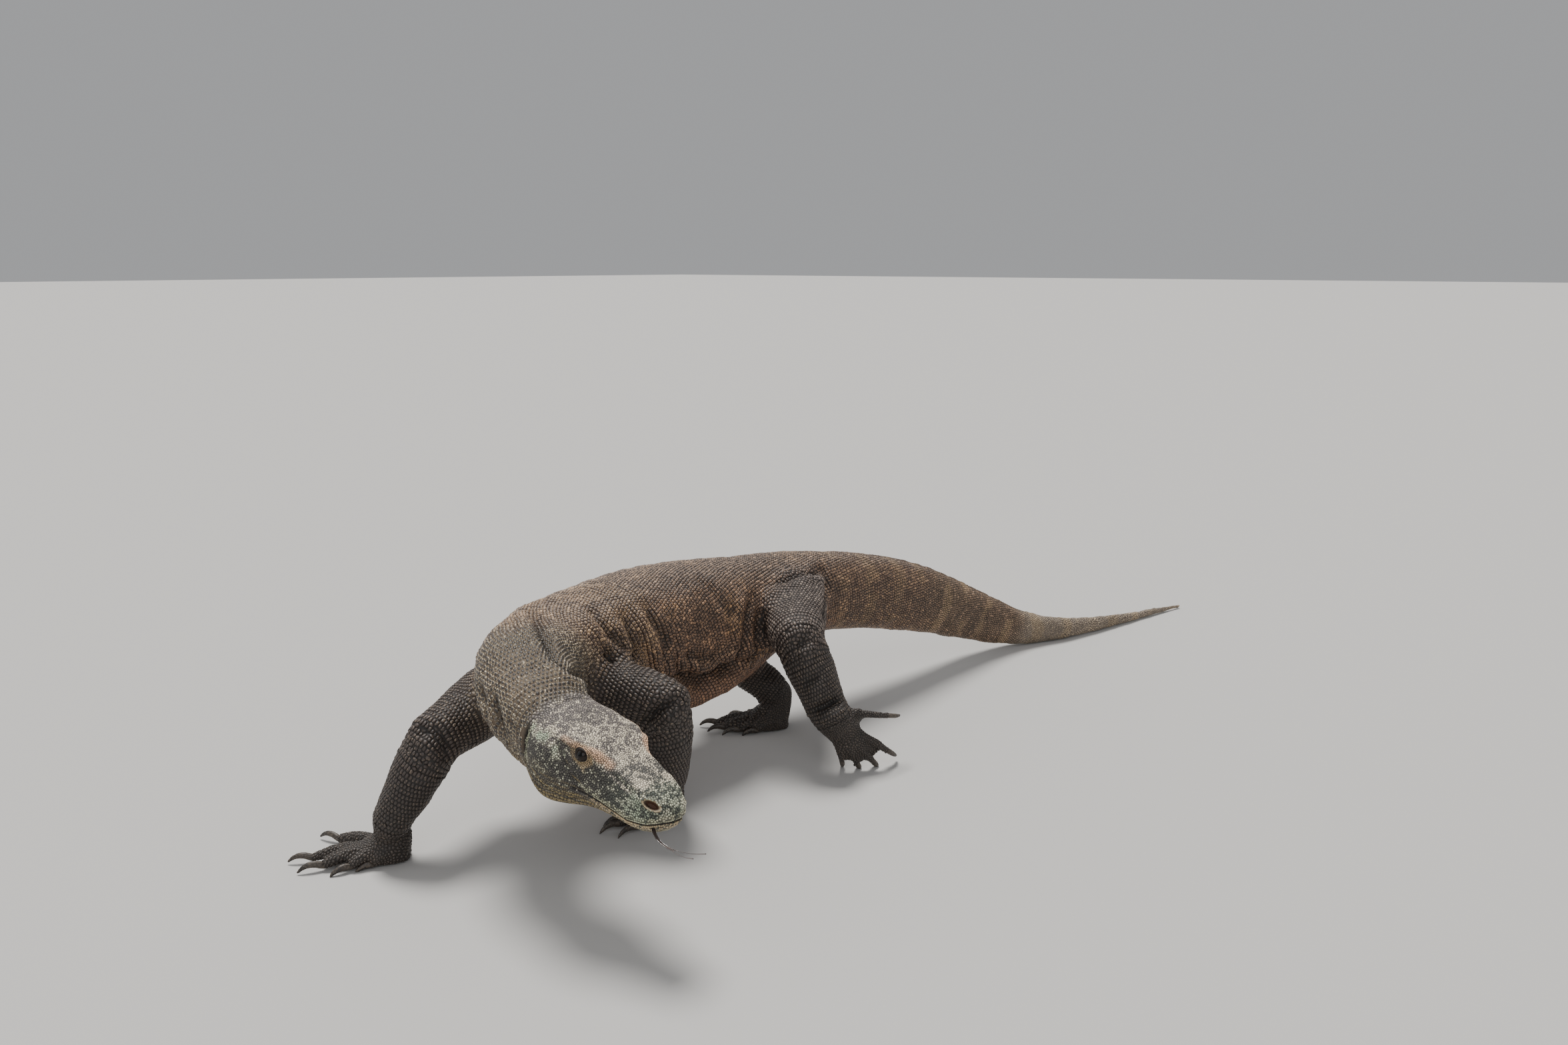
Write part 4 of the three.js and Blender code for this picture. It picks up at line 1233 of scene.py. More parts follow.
def paintHide(places, shares, normals, chance):  # the colours of scale tops, gaps and specks, share of specks
    zone = dict(zip(zones, shares.T))
    s, up = spineAxis.distance(places), normals[:, 2]

    # the trunk: rust low on the flanks, ochre round the shoulders, and a crest painted paler on its upward
    # faces as a painted sky sheen
    rust = ramp(-up, -0.45, 0.35) * zone["flank"]
    ochre = ramp(softNoise(places, 0.045, 32), 0.50, 0.70) * (zone["shoulder"] + 0.7 * zone["flank"])
    # painted sky sheen: paler tops and specks where the trunk's surface faces up
    crestSheen = ramp(up, 0.6, 0.95) * (zone["shoulder"] + zone["flank"] + zone["tailRoot"])

    # the tail: broken pale bars that fade towards the tip
    tail = zone["tail"] + zone["tailTip"] + 0.5 * zone["tailRoot"]
    wave = waves(s + 0.03 * softNoise(places, 0.05, 33), 0.085)
    bars = ramp(wave, 0.15, 0.8) * ramp(softNoise(places, 0.03, 34), 0.30, 0.60) * tail

    # the neck: darker beads above, paler and greener at the sides behind the head
    side = zone["neck"] * (1 - ramp(s, 0.03, 0.16)) * (1 - ramp(up, 0.2, 0.7))
    pale = ramp(softNoise(places, 0.022, 35), 0.52, 0.72) * zone["neck"]

    # gap tones: partly painted shade between the scales
    tops, gaps, specks = shares @ zoneTops, shares @ zoneGapsAndShade, shares @ zoneSpecks
    many = shares @ zoneChance + 0.22 * ochre + 0.25 * bars
    for tone, share in (("rustSpeck", 0.45 * rust), ("ochre", 0.6 * ochre), ("crestSheenSpeck", 0.5 * crestSheen),
                        ("neckSpeck", 0.4 * side)):
        specks = mixed(specks, hideTones[tone], share)
    for tone, share in (("rustTop", 0.40 * rust), ("crestSheenTop", 0.45 * crestSheen), ("tailBar", 0.55 * bars),
                        ("neckTop", 0.22 * pale)):
        tops = mixed(tops, hideTones[tone], share)

    # dark and light patches over everything, and single pale scales
    patch = 0.70 + 0.40 * softNoise(places, 0.09, 46) + 0.22 * softNoise(places, 0.026, 47)
    trunk = 1 - sum(zone[name] for name in ("head", "neck", "upperArm", "forearm", "shank", "foot"))
    tops = mixed(tops, specks, 0.55 * (chance[:, 0] > 0.93) * np.maximum(trunk, 0.12))
    tops = tops * (patch * (1 + (0.24 + 0.32 * trunk) * (chance[:, 5] - 0.5)))[:, None]
    gaps, specks = gaps * patch[:, None], specks * patch[:, None]
    head = headShare(places)
    tops = mixed(tops, paintHead(places, normals, chance) * (0.85 + 0.15 * patch)[:, None], head)
    # the head's gaps are painted near black, painted shade between its small scales
    gaps = mixed(gaps, (tops * 0.35 + hideTones["headGapAndShade"]) / 2, head)
    return tops, gaps, specks, many * (1 - head)


scaleTops, scaleGapsAndShade, scaleSpecks, scaleMany = paintHide(scalePlaces, scaleZones, scaleNormals, chances)
# painted shade in the creases of the hide darkens the scale tops, gaps and specks
creaseShading = (1 - 0.55 * sampled(creaseShade, scaleFaces, scaleShares))[:, None]
scaleTops, scaleGapsAndShade, scaleSpecks = scaleTops * creaseShading, scaleGapsAndShade * creaseShading, scaleSpecks * creaseShading
skinChances = np.full((len(skinPoints), 6), 0.5)
# the bare skin takes the gap tones, darkened by the painted shade in the creases
skinColours = paintHide(skinPoints, skinZones, skinNormals, skinChances)[1] * (1 - 0.5 * creaseShade)[:, None]
print("hide painted")


def aroundHead(h):
    return (h[:, 0] > -0.04) & (np.abs(h[:, 1:]) < 0.1).all(axis=1)


def paintHoles(colours):  # the inside of the mouth line, the nostrils and the ears
    h = skinHead
    onHead = aroundHead(h)
    # the mouth line is painted near black, painted shade in the groove between the lips
    inside = (1 - ramp(mouthDistance(h)[0], 0.0006, 0.0020)) * onHead * ramp(h[:, 0], 0.085, 0.1)
    colours = mixed(colours, headTones["mouth"], inside)
    for side in (1, -1):
        for hole, tone in ((nostrils, "nostril"), (ears, "mouth")):
            a, b, out = holePlane(hole, h, side)
            g = ovalShare(hole, a, b)
            near = (np.abs(out) < 0.02) * onHead
            if hole is nostrils:
                rim = hump(g, 1.12, 0.14) * near * 0.6
                colours = mixed(colours, headTones["nostrilRim"], rim)
            # the nostrils' pits take their brown tone at half strength and the ears' pits a near-black one,
            # painted shade in these holes
            colours = mixed(colours, headTones[tone] * 0.5, (1 - ramp(g, 0.7, 1.05)) * near)
        a, b, out = holePlane(lids, h, side)
        edge = (1 - ramp(almond(a, b), 1.15, 1.35)) * (np.abs(out) < 0.03) * onHead
        colours = mixed(colours, headTones["lid"] * 0.5, edge)
    return colours


skinColours = paintHoles(skinColours)


def bareShare(h):  # where no scale may sit: in the line of the mouth, the nostrils, the ears and the eyes
    gap, above = mouthDistance(h)
    bare = (gap < 0.0016) & (h[:, 0] > 0.094)
    bare |= (np.abs(above) < 0.0044) & (gap < 0.0044) & (h[:, 0] > 0.106)
    for side in (1, -1):
        for hole, reach in ((nostrils, 1.12), (ears, 1.15)):
            a, b, out = holePlane(hole, h, side)
            bare |= (ovalShare(hole, a, b) < reach) & (np.abs(out) < 0.022)
        a, b, out = holePlane(lids, h, side)
        bare |= (almond(a, b) < 1.30) & (np.abs(out) < 0.022)
    return bare & aroundHead(h)


coatForm = {
    "fill": 0.94,  # share of the room between neighbours that a scale takes
    "gap": 0.00014,
    "reach": 0.78,  # the furthest that a rim goes, in spacings
    "grainReach": 0.72,  # the same where small grains stand between the scales
    "shoulder": 0.80,  # where the top turns down to the rim
    "sink": 0.00035,
    "back": 0.16,  # how far the highest point lies towards the tail
    "highest": 0.27,  # over the scale's own size
    "shoulderCrown": 0.55,  # how far up the dome the shoulder counts in the hide's shading
}


def aroundScales(count):  # the neighbours of each scale, and how far off they are along its lie and across it
    near = neighboursOf(scalePlaces, count)
    offset = scalePlaces[near] - scalePlaces[:, None]
    across = np.cross(scaleNormals, scaleLie)
    return near, *((offset * way[:, None]).sum(axis=2) for way in (scaleLie, across))


def rimReach(spokes):  # each scale fills its own cell between its neighbours
    near, u, v = aroundScales(9)
    flat = np.maximum(np.hypot(u, v), 1e-6)
    share = scaleSize[:, None] / (scaleSize[:, None] + scaleSize[near])
    facing = (scaleNormals[:, None] * scaleNormals[near]).sum(axis=2)
    reach = np.full((scaleCount, spokes), 9.0)
    for j in range(spokes):
        angle = 2 * math.pi * (j + 0.5) / spokes
        cosine = (u * math.cos(angle) + v * math.sin(angle)) / flat
        edge = np.where((cosine > 0.08) & (facing > 0.2), flat * share / np.maximum(cosine, 0.08), 9)
        reach[:, j] = edge.min(axis=1)
    reach = reach * coatForm["fill"] - coatForm["gap"]
    grains = scaleZones @ zoneGrains
    limit = coatForm["reach"] + (coatForm["grainReach"] - coatForm["reach"]) * grains
    return np.clip(reach, 0.0006, (limit * scaleSize)[:, None])


spokes = 8
scaleRims = rimReach(spokes)
scaleBare = bareShare(toHead(scalePlaces))
print("scale rims found")


def closedPieces(points, corners, sizes):  # many copies of one form: points, corners and sizes of the faces
    count, perForm = points.shape[:2]
    loops = (corners[None] + np.arange(count)[:, None] * perForm).ravel()
    return points.reshape(-1, 3), loops, np.tile(sizes, count)


def meshOf(name, parts):  # one mesh out of lists of points, corners, face sizes, colours and places on OFBake
    base = np.concatenate([[0], np.cumsum([len(part[0]) for part in parts])])
    points, counts = (np.concatenate([part[k] for part in parts]) for k in (0, 2))
    loops = np.concatenate([part[1] + shift for part, shift in zip(parts, base)])
    colours, flat = (np.concatenate([part[k].reshape(-1, width) for part in parts])
                     for k, width in ((3, 4), (4, 2)))
    mesh = bpy.data.meshes.new(name)
    mesh.vertices.add(len(points))
    write(mesh.vertices, "co", points)
    mesh.loops.add(len(loops))
    write(mesh.loops, "vertex_index", loops, np.int32)
    mesh.polygons.add(len(counts))
    write(mesh.polygons, "loop_start", np.concatenate([[0], np.cumsum(counts)[:-1]]), np.int32)
    mesh.update(calc_edges=True)
    smoothShaded(mesh)
    setTint(mesh, colours)
    write(mesh.uv_layers.new(name="OFBake").data, "uv", flat)
    return mesh


patchSize = 0.0015  # of each scale on the map OFBake


def ringWays(sides, lie, normals):  # the ways from a middle to its rim: angles, on the flat and in the round
    angle = 2 * math.pi * (np.arange(sides) + 0.5) / sides
    flat = np.stack([np.cos(angle), np.sin(angle)], axis=1)
    return angle, flat, lie[:, None] * flat[None, :, :1] + np.cross(normals, lie)[:, None] * flat[None, :, 1:]


def rootsOn(corners, faces, shares):
    return (corners[faces] * shares[:, :, None]).sum(axis=1)


def bakePatch(roots, ways, corners, flatFrom):  # a small patch round the root of each scale
    flat = roots[:, None] + (patchSize * ways[corners])[None]
    flat[:, flatFrom:] = (roots + patchSize * ways[-1])[:, None]
    return flat


def domes(points, corners, sizes, colour, roots, ringFlat, inner=()):  # closed domes with a flat underside
    ways = np.concatenate([[[0, 0]], *inner, ringFlat])
    return (*closedPieces(points, corners, sizes), colour,
            bakePatch(roots, ways, corners, len(corners) - len(ringFlat)))


def scaleParts(chosen, seed):
    reach, size = scaleRims[chosen], scaleSize[chosen]
    place, normal, lie = scalePlaces[chosen], scaleNormals[chosen], scaleLie[chosen]
    angle, ringFlat, way = ringWays(spokes, lie, normal)
    beads = scaleZones[chosen, list(zones).index("neck")][:, None]
    height = (scaleZones[chosen] @ zoneHeight) * (0.75 + 0.5 * chances[chosen, 1])
    height = height * np.clip(reach.mean(axis=1) / (0.45 * size), 0.5, 1.2)
    height = np.minimum(height, coatForm["highest"] * size)
    rim = place[:, None] + way * reach[:, :, None] - normal[:, None] * coatForm["sink"]
    tilt = 0.80 + 0.18 * np.cos(angle)
    middle = place[:, None] + way * (reach * (coatForm["shoulder"] - 0.18 * beads))[:, :, None] \
        + normal[:, None] * (height[:, None] * tilt)[:, :, None]
    apex = place + lie * (coatForm["back"] * reach.mean(axis=1))[:, None] + normal * height[:, None]
    points = np.concatenate([apex[:, None], middle, rim], axis=1)

    ring = np.arange(spokes)
    after = (ring + 1) % spokes
    fan = np.stack([0 * ring, 1 + ring, 1 + after], axis=1).ravel()
    walls = np.stack([1 + ring, 1 + spokes + ring, 1 + spokes + after, 1 + after], axis=1).ravel()
    corners = np.concatenate([fan, walls, (1 + spokes + ring)[::-1]])
    sizes = np.concatenate([np.full(spokes, 3), np.full(spokes, 4), [spokes]])
    colour = scaleColours(chosen, seed, points, angle, beads)
    return domes(points, corners, sizes, colour, scaleRoots[chosen], ringFlat,
                 [coatForm["shoulder"] * ringFlat])


def scaleColours(chosen, seed, points, angle, beads):  # specks on the hind shoulders, which break up the rims
    rng = np.random.default_rng(seed)
    n = len(chosen)
    top, gap, speck = (c[chosen][:, None] for c in (scaleTops, scaleGapsAndShade, scaleSpecks))
    many = scaleMany[chosen][:, None]
    hind = (0.35 + 0.9 * (0.5 + 0.5 * np.cos(angle))) * (1 - 0.93 * beads)
    onShoulder = rng.random((n, spokes)) < many * hind
    onRim = rng.random((n, spokes)) < many * (0.7 + 0.3 * beads)
    shoulder = top * (0.84 + 0.3 * (rng.random((n, spokes)) - 0.5))[:, :, None]
    # the rims are painted part way to the gap tone, painted shade where each dome sinks into the skin; on the
    # neck's beads they take the cream gap tone
    rim = gap + (top - gap) * (0.45 * (1 - beads))[:, :, None]
    colour = np.ones((n, 2 * spokes + 1, 4))
    colour[:, 0, :3] = top[:, 0]
    colour[:, 1:1 + spokes, :3] = shoulder + (speck - shoulder) * (0.8 * onShoulder)[:, :, None]
    colour[:, 1 + spokes:, :3] = rim + (speck - rim) * ((0.5 + 0.4 * beads) * onRim)[:, :, None]
    colour[:, 1:1 + spokes, 3] = coatForm["shoulderCrown"]
    colour[:, 1 + spokes:, 3] = 0.0

    # the head's flecks are finer than its scales
    head = headShare(scalePlaces[chosen])
    on = np.flatnonzero(head > 0.02)
    if len(on):
        perForm = 2 * spokes + 1
        own = chances[chosen[on]]
        normals, drawn = (np.repeat(field, perForm, axis=0) for field in (scaleNormals[chosen[on]], own))
        fine = paintHead(points[on].reshape(-1, 3), normals, drawn).reshape(len(on), perForm, 3)
        fine = fine * (0.80 + 0.4 * own[:, 5])[:, None, None]
        # the rims of the head's scales are painted darker, painted shade round each scale
        fine[:, 1 + spokes:] *= 0.80
        colour[on, :, :3] += (fine - colour[on, :, :3]) * head[on][:, None, None]
    return colour


grainForm = {
    "size": 0.16,  # radius over the spacing of the scales round it
    "height": 0.62,  # over its own radius
    "sides": 5,
    "sink": 0.0002,
    "rimShade": 0.6,
    "rimCrown": 0.1,
}


def gapPlaces():  # the places where three scales meet
    count = 7
    near, u, v = aroundScales(count)
    near = np.take_along_axis(near, np.argsort(np.arctan2(v, u), axis=1), axis=1)
    triples = np.stack([np.repeat(np.arange(scaleCount), count), near.ravel(),
                        np.roll(near, -1, axis=1).ravel()], axis=1)
    triples.sort(axis=1)
    triples, times = np.unique(triples, axis=0, return_counts=True)
    triples = triples[times >= 3]
    corners = scalePlaces[triples]
    longest = np.linalg.norm(corners - np.roll(corners, 1, axis=1), axis=2).max(axis=1)
    size = scaleSize[triples].mean(axis=1)
    wanted = (scaleZones[triples] @ zoneGrains).mean(axis=1) > 0.5
    wanted &= (longest < 1.75 * size) & ~scaleBare[triples].any(axis=1)
    return *onSkin(corners[wanted].mean(axis=1)), triples[wanted], size[wanted]


grainPlaces, grainFaces, grainShares, grainTriples, grainSizes = gapPlaces()
print("small grains between the scales", len(grainPlaces))


def grainParts(chosen, seed):  # low domes between the scales, pale or dark
    n, sides = len(chosen), grainForm["sides"]
    rng = np.random.default_rng(seed)
    normal = unit(sampled(skinNormals, grainFaces[chosen], grainShares[chosen]))
    place = grainPlaces[chosen]
    first = alongSurface(scalePlaces[grainTriples[chosen, 0]] - place, normal)
    radius = grainSizes[chosen] * grainForm["size"] * (0.75 + 0.5 * rng.random(n))
    ringFlat, way = ringWays(sides, first, normal)[1:]
    rim = place[:, None] + way * radius[:, None, None] - normal[:, None] * grainForm["sink"]
    apex = place + normal * (radius * grainForm["height"])[:, None]
    points = np.concatenate([apex[:, None], rim], axis=1)
    ring = np.arange(sides)
    corners = np.concatenate([np.stack([0 * ring, 1 + ring, 1 + (ring + 1) % sides], axis=1).ravel(),
                              (1 + ring)[::-1]])
    sizes = np.concatenate([np.full(sides, 3), [sides]])
    mine = grainTriples[chosen]
    gap, speck, many = (field[mine].mean(axis=1) for field in (scaleGapsAndShade, scaleSpecks, scaleMany))
    pale = (rng.random(n) < 0.15 + many) * (0.6 + 0.4 * rng.random(n))
    tone = mixed(gap * 1.6, speck, pale)
    colour = np.ones((n, sides + 1, 4))
    colour[:, :, :3] = tone[:, None]
    # the grains' rims are painted darker, painted shade at their edges
    colour[:, 1:, :3] *= grainForm["rimShade"]
    colour[:, 1:, 3] = grainForm["rimCrown"]
    return domes(points, corners, sizes, colour, grainRoots[chosen], ringFlat)


def newGroup(name, inputs, outputs, kind="ShaderNodeTree"):
    group = bpy.data.node_groups.new(name, kind)
    for label, socket, value in inputs:
        made = group.interface.new_socket(label, in_out="INPUT", socket_type=socket)
        if value is not None:
            made.default_value = value
    for label, socket in outputs:
        group.interface.new_socket(label, in_out="OUTPUT", socket_type=socket)
    return group, group.nodes.new("NodeGroupInput").outputs, group.nodes.new("NodeGroupOutput")


def addNode(tree, kind, values=None, **settings):
    node = tree.nodes.new(kind)
    for key, value in settings.items():
        setattr(node, key, value)
    feed(tree, node, values or {})
    return node


def noiseOf(tree, size, detail, roughness=0.5):
    place = addNode(tree, "ShaderNodeTexCoord").outputs["Object"]
    values = {"Vector": place, "Scale": size, "Detail": detail, "Roughness": roughness}
    return addNode(tree, "ShaderNodeTexNoise", values).outputs["Fac"]


def ranged(tree, value, low, high, toLow, toHigh):  # a value brought from one range to another
    values = {"Value": value, "From Min": low, "From Max": high, "To Min": toLow, "To Max": toHigh}
    return addNode(tree, "ShaderNodeMapRange", values).outputs["Result"]


def colourMix(tree, share, first, second, way="MIX"):
    values = {"Factor": share, 6: first, 7: second}
    return addNode(tree, "ShaderNodeMix", values, data_type="RGBA", blend_type=way).outputs[2]


def times(tree, first, second):
    return addNode(tree, "ShaderNodeMath", {0: first, 1: second}, operation="MULTIPLY").outputs[0]


def hideGroup():  # grain, stains and dust of a reptile's hide, for the skin and for its scales
    group, given, made = newGroup("hide finish", [
        ("Colour", "NodeSocketColor", (0.1, 0.08, 0.06, 1)),
        ("Crown", "NodeSocketFloat", 1.0),
        ("Grain Size", "NodeSocketFloat", 700.0),
        ("Mottle", "NodeSocketFloat", 0.25),
        ("Dust", "NodeSocketFloat", 0.2),
        ("Smoothest", "NodeSocketFloat", 0.45),
        ("Roughest", "NodeSocketFloat", 0.75),
    ], [("Colour", "NodeSocketColor"), ("Roughness", "NodeSocketFloat"), ("Height", "NodeSocketFloat")])
    grain = noiseOf(group, given["Grain Size"], 3.0, 0.6)
    blotch = noiseOf(group, 60.0, 4.0, 0.65)
    fine, wide = ranged(group, grain, 0.3, 0.7, 0.72, 1.28), ranged(group, blotch, 0.35, 0.68, 0.75, 1.2)
    shade = times(group, fine, wide)
    toned = colourMix(group, given["Mottle"], given["Colour"], shade, "MULTIPLY")

    # pale dust that settles low on the animal and in the hollows between scales
    place = addNode(group, "ShaderNodeTexCoord").outputs["Object"]
    above = addNode(group, "ShaderNodeSeparateXYZ", {0: place}).outputs["Z"]
    low = ranged(group, above, 0.0, 0.12, 1.0, 0.12)
    hollow = ranged(group, given["Crown"], 0.0, 1.0, 1.0, 0.35)
    dust = times(group, times(group, times(group, low, hollow), blotch), given["Dust"])
    feed(group, made, {
        "Colour": colourMix(group, dust, toned, (*linear("8c8074"), 1)),
        "Roughness": ranged(group, blotch, 0.3, 0.75, given["Smoothest"], given["Roughest"]),
        "Height": grain,
    })
    return group


hideFinish = hideGroup()


def hideMaterial(name, values, strength, distance):
    material, shader = newMaterial(name, {"Specular IOR Level": 0.5})
    tree = material.node_tree
    tint = addNode(tree, "ShaderNodeAttribute", attribute_name="tint").outputs
    values = {"Colour": tint["Color"], "Crown": tint["Alpha"], **values}
    finish = addNode(tree, "ShaderNodeGroup", values, node_tree=hideFinish).outputs
    relief = addNode(tree, "ShaderNodeBump", {
        "Strength": strength, "Distance": distance, "Height": finish["Height"]})
    feed(tree, shader, {"Base Color": finish["Colour"], "Roughness": finish["Roughness"],
                        "Normal": relief.outputs["Normal"]})
    return material


scaleHide = hideMaterial("scaly hide", {
    "Grain Size": 900.0, "Mottle": 0.45, "Dust": 0.18, "Smoothest": 0.34, "Roughest": 0.60}, 0.35, 0.0004)
bareHide = hideMaterial("bare hide between scales", {
    "Grain Size": 1300.0, "Mottle": 0.5, "Dust": 0.35, "Smoothest": 0.55, "Roughest": 0.85}, 0.5, 0.0005)


plateForm = {  # half sizes of a plate over its own size, and how much they vary
    "Length": 1.0,
    "Width": 0.80,
    "Height": 0.42,
    "Variation": 0.14,
    "Seed": 4,
}
plateRows = {  # spacing, size and height over the skin of each row of plates, in mm
    "upper lip": (3.1, 1.85, 0.25),
    "lower lip": (2.9, 1.75, 0.20),
    "lids": (1.25, 0.74, 0.10),
    "tail": (4.6, 2.50, 0.75),
}


def plateTree(material):  # a plate on every point, turned and sized by the point's own attributes
    whole = "NodeSocketGeometry"
    inputs = [("Geometry", whole, None)] + [
        (label, "NodeSocketInt" if isinstance(value, int) else "NodeSocketFloat", value)
        for label, value in plateForm.items()]
    tree, given, made = newGroup("rows of plates", inputs, [("Geometry", whole)], "GeometryNodeTree")
    ball = addNode(tree, "GeometryNodeMeshUVSphere", {"Segments": 8, "Rings": 4, "Radius": 1.0})
    sides = addNode(tree, "ShaderNodeCombineXYZ", {0: given["Length"], 1: given["Width"], 2: given["Height"]})
    plate = addNode(tree, "GeometryNodeTransform", {
        "Geometry": ball.outputs["Mesh"], "Scale": sides.outputs[0]})
    turn, size = (
        addNode(tree, "GeometryNodeInputNamedAttribute", {"Name": label}, data_type=kind).outputs["Attribute"]
        for label, kind in (("turn", "FLOAT_VECTOR"), ("size", "FLOAT")))
    least, most = (
        addNode(tree, "ShaderNodeMath", {0: 1.0, 1: given["Variation"]}, operation=way).outputs[0]
        for way in ("SUBTRACT", "ADD"))
    drawn = addNode(tree, "FunctionNodeRandomValue", {
        2: least, 3: most, "Seed": given["Seed"]}, data_type="FLOAT")
    onPoints = addNode(tree, "GeometryNodeInstanceOnPoints", {
        "Points": given["Geometry"],
        "Instance": plate.outputs["Geometry"],
        "Rotation": addNode(tree, "FunctionNodeEulerToRotation", {0: turn}).outputs[0],
        "Scale": times(tree, size, drawn.outputs[1]),
    })
    solid = addNode(tree, "GeometryNodeRealizeInstances", {"Geometry": onPoints.outputs["Instances"]})
    dressed = addNode(tree, "GeometryNodeSetMaterial", {
        "Geometry": solid.outputs["Geometry"], "Material": material})
    feed(tree, made, {"Geometry": dressed.outputs["Geometry"]})
    return tree


plateNodes = plateTree(scaleHide)


def castHead(start, way):  # where a ray through the head's own axes meets the skin from outside
    start, way = fromHead(start), headTurn @ unit(np.array(way, float))
    hit = skinTree.ray_cast(Vector(start), Vector(way), 0.3)[0]
    return None if hit is None else np.array(hit)


plateLines = {  # in metres
    "mouthCorner": 0.106,  # ahead of the back of the skull
    "muzzle": 0.215,  # the middle of the round end of the muzzle
    "lidRim": 1.24,  # over the size of the lids' opening
    "tailStart": 0.16,  # from the start of the tail's root
    "tailEnd": 0.08,  # from the tip
    "tailApart": 0.0032,  # from the middle line
}


def lipLine(above):  # round the muzzle from one corner of the mouth to the other
    muzzle = plateLines["muzzle"]
    line = []
    for side in (-1, 1):
        hits = []
        for x in np.arange(plateLines["mouthCorner"], 0.222, 0.004):
            hits.append(castHead((x, side * 0.15, mouthHeight(x) + above), (0, -side, 0)))
        for degrees in np.arange(80, 0, -8):
            way = (math.cos(math.radians(degrees)), side * math.sin(math.radians(degrees)))
            start = (muzzle + 0.2 * way[0], 0.2 * way[1])
            reach = castHead((*start, -0.014 + above), (-way[0], -way[1], 0))
            z = mouthHeight(toHead(reach)[0]) + above if reach is not None else 0
            hits.append(castHead((*start, z), (-way[0], -way[1], 0)))
        hits = [p for p in hits if p is not None]
        line += hits if side < 0 else hits[::-1]
    return line


def lidLine(side):
    centre, along, across, out = holeAxes(lids, side)
    line = []
    for turn in np.linspace(0, 2 * math.pi, 41):
        b = math.sin(turn) * lids["high"] * (0.8 if math.sin(turn) > 0 else 1.0)
        rim = centre + plateLines["lidRim"] * (along * math.cos(turn) * lids["long"] + across * b)
        line.append(castHead(rim + out * 0.05, -out))
    return [p for p in line if p is not None]


def tailLine(side):
    first, last = nodeStarts["tail_root"] + plateLines["tailStart"], spineAxis.length - plateLines["tailEnd"]
    starts = np.arange(first, last, 0.006)
    line = [rayOnSkin(skinTree, s, 90) for s in starts]
    line = np.array([p for p in line if p is not None])
    ways = unit(np.cross(unit(np.gradient(line, axis=0)), [0, 0, 1]))
    apart = plateLines["tailApart"] * (1 - 0.5 * np.linspace(0, 1, len(line)))
    return [skinTree.find_nearest(Vector(p))[0] for p in line + ways * (side * apart)[:, None]]


def plateParts(kind, line):  # one row, made by the tree and handed over as plain lists
    spacing, size, lifted = (0.001 * value for value in plateRows[kind])
    places, faces, shares = onSkin(evenLine(line, spacing))
    normals = unit(sampled(skinNormals, faces, shares))
    ways = alongSurface(np.gradient(places, axis=0), normals)
    onTail = kind == "tail"
    taper = 1 - 0.55 * onTail * ramp(np.linspace(0, 1, len(places)), 0.3, 1)
    sizes = size * taper
    turns = [Matrix((w, np.cross(n, w), n)).transposed().to_euler() for w, n in zip(ways, normals)]
    mesh = bpy.data.meshes.new("points")
    mesh.from_pydata((places + normals * (lifted * taper)[:, None]).tolist(), [], [])
    write(mesh.attributes.new("turn", "FLOAT_VECTOR", "POINT").data, "vector", turns)
    write(mesh.attributes.new("size", "FLOAT", "POINT").data, "value", sizes)
    holder = placed("points", mesh)
    rows = holder.modifiers.new("rows", "NODES")
    rows.node_group = plateNodes
    named = {item.name: item.identifier for item in plateNodes.interface.items_tree if item.in_out == "INPUT"}
    rows[named["Width"]] = 0.62 if onTail else plateForm["Width"]
    rows[named["Height"]] = 0.75 if onTail else plateForm["Height"]
    plain = applied(holder)
    co = coordinates(plain)
    owner = np.arange(len(co)) // (len(co) // len(places))
    mine = sampled(skinZones, faces, shares)[owner]
    tops = paintHide(co, mine, normals[owner], np.full((len(co), 6), 0.5))[0]
    colour = np.ones((len(co), 4))
    colour[:, :3] = tops * (0.85 + 0.3 * np.random.default_rng(31).random(len(places))[owner])[:, None]
    offset = (co - places[owner]) / sizes[owner][:, None]
    flat = np.stack([(offset * way[owner]).sum(axis=1) for way in (ways, np.cross(normals, ways))], axis=1)
    return {"faces": faces, "shares": shares, "co": co, "colour": colour, "flat": flat,
            "loops": read(plain.loops, "vertex_index", 1, np.int32),
            "counts": read(plain.polygons, "loop_total", 1, np.int32)}


plateSets = [plateParts("upper lip", lipLine(0.0028)), plateParts("lower lip", lipLine(-0.0029))]
for side in (1, -1):
    plateSets += [plateParts("lids", lidLine(side)), plateParts("tail", tailLine(side))]
print("rows of plates made", [len(rows["faces"]) for rows in plateSets])


def platesIn(rows, members, corners):  # the plates of a row that stand on one piece of the coat
    mine = members[rows["faces"]]
    count = len(mine)
    points, colour, flat = (rows[key].reshape(count, -1, wide)[mine] for key, wide in
                            (("co", 3), ("colour", 4), ("flat", 2)))
    form, sizes = (rows[key][:len(rows[key]) // count] for key in ("loops", "counts"))
    roots = rootsOn(corners, rows["faces"][mine], rows["shares"][mine])
    return (*closedPieces(points, form, sizes), colour, roots[:, None] + patchSize * flat[:, form])


coatPieces = {
    "scales_head": ["head"],
    "scales_jaw": ["lower_jaw"],
    "scales_neck": ["neck"],
    "scales_shoulders": ["trunk_front"],
    "scales_belly": ["trunk_belly"],
    "scales_hips": ["trunk_hips"],
    "scales_tail_root": ["tail_root"],
    "scales_tail_middle": ["tail_middle"],
    "scales_tail_tip": ["tail_tip"],
}
for limb, nodes in limbNodes.items():
    coatPieces["scales_" + limb] = nodes


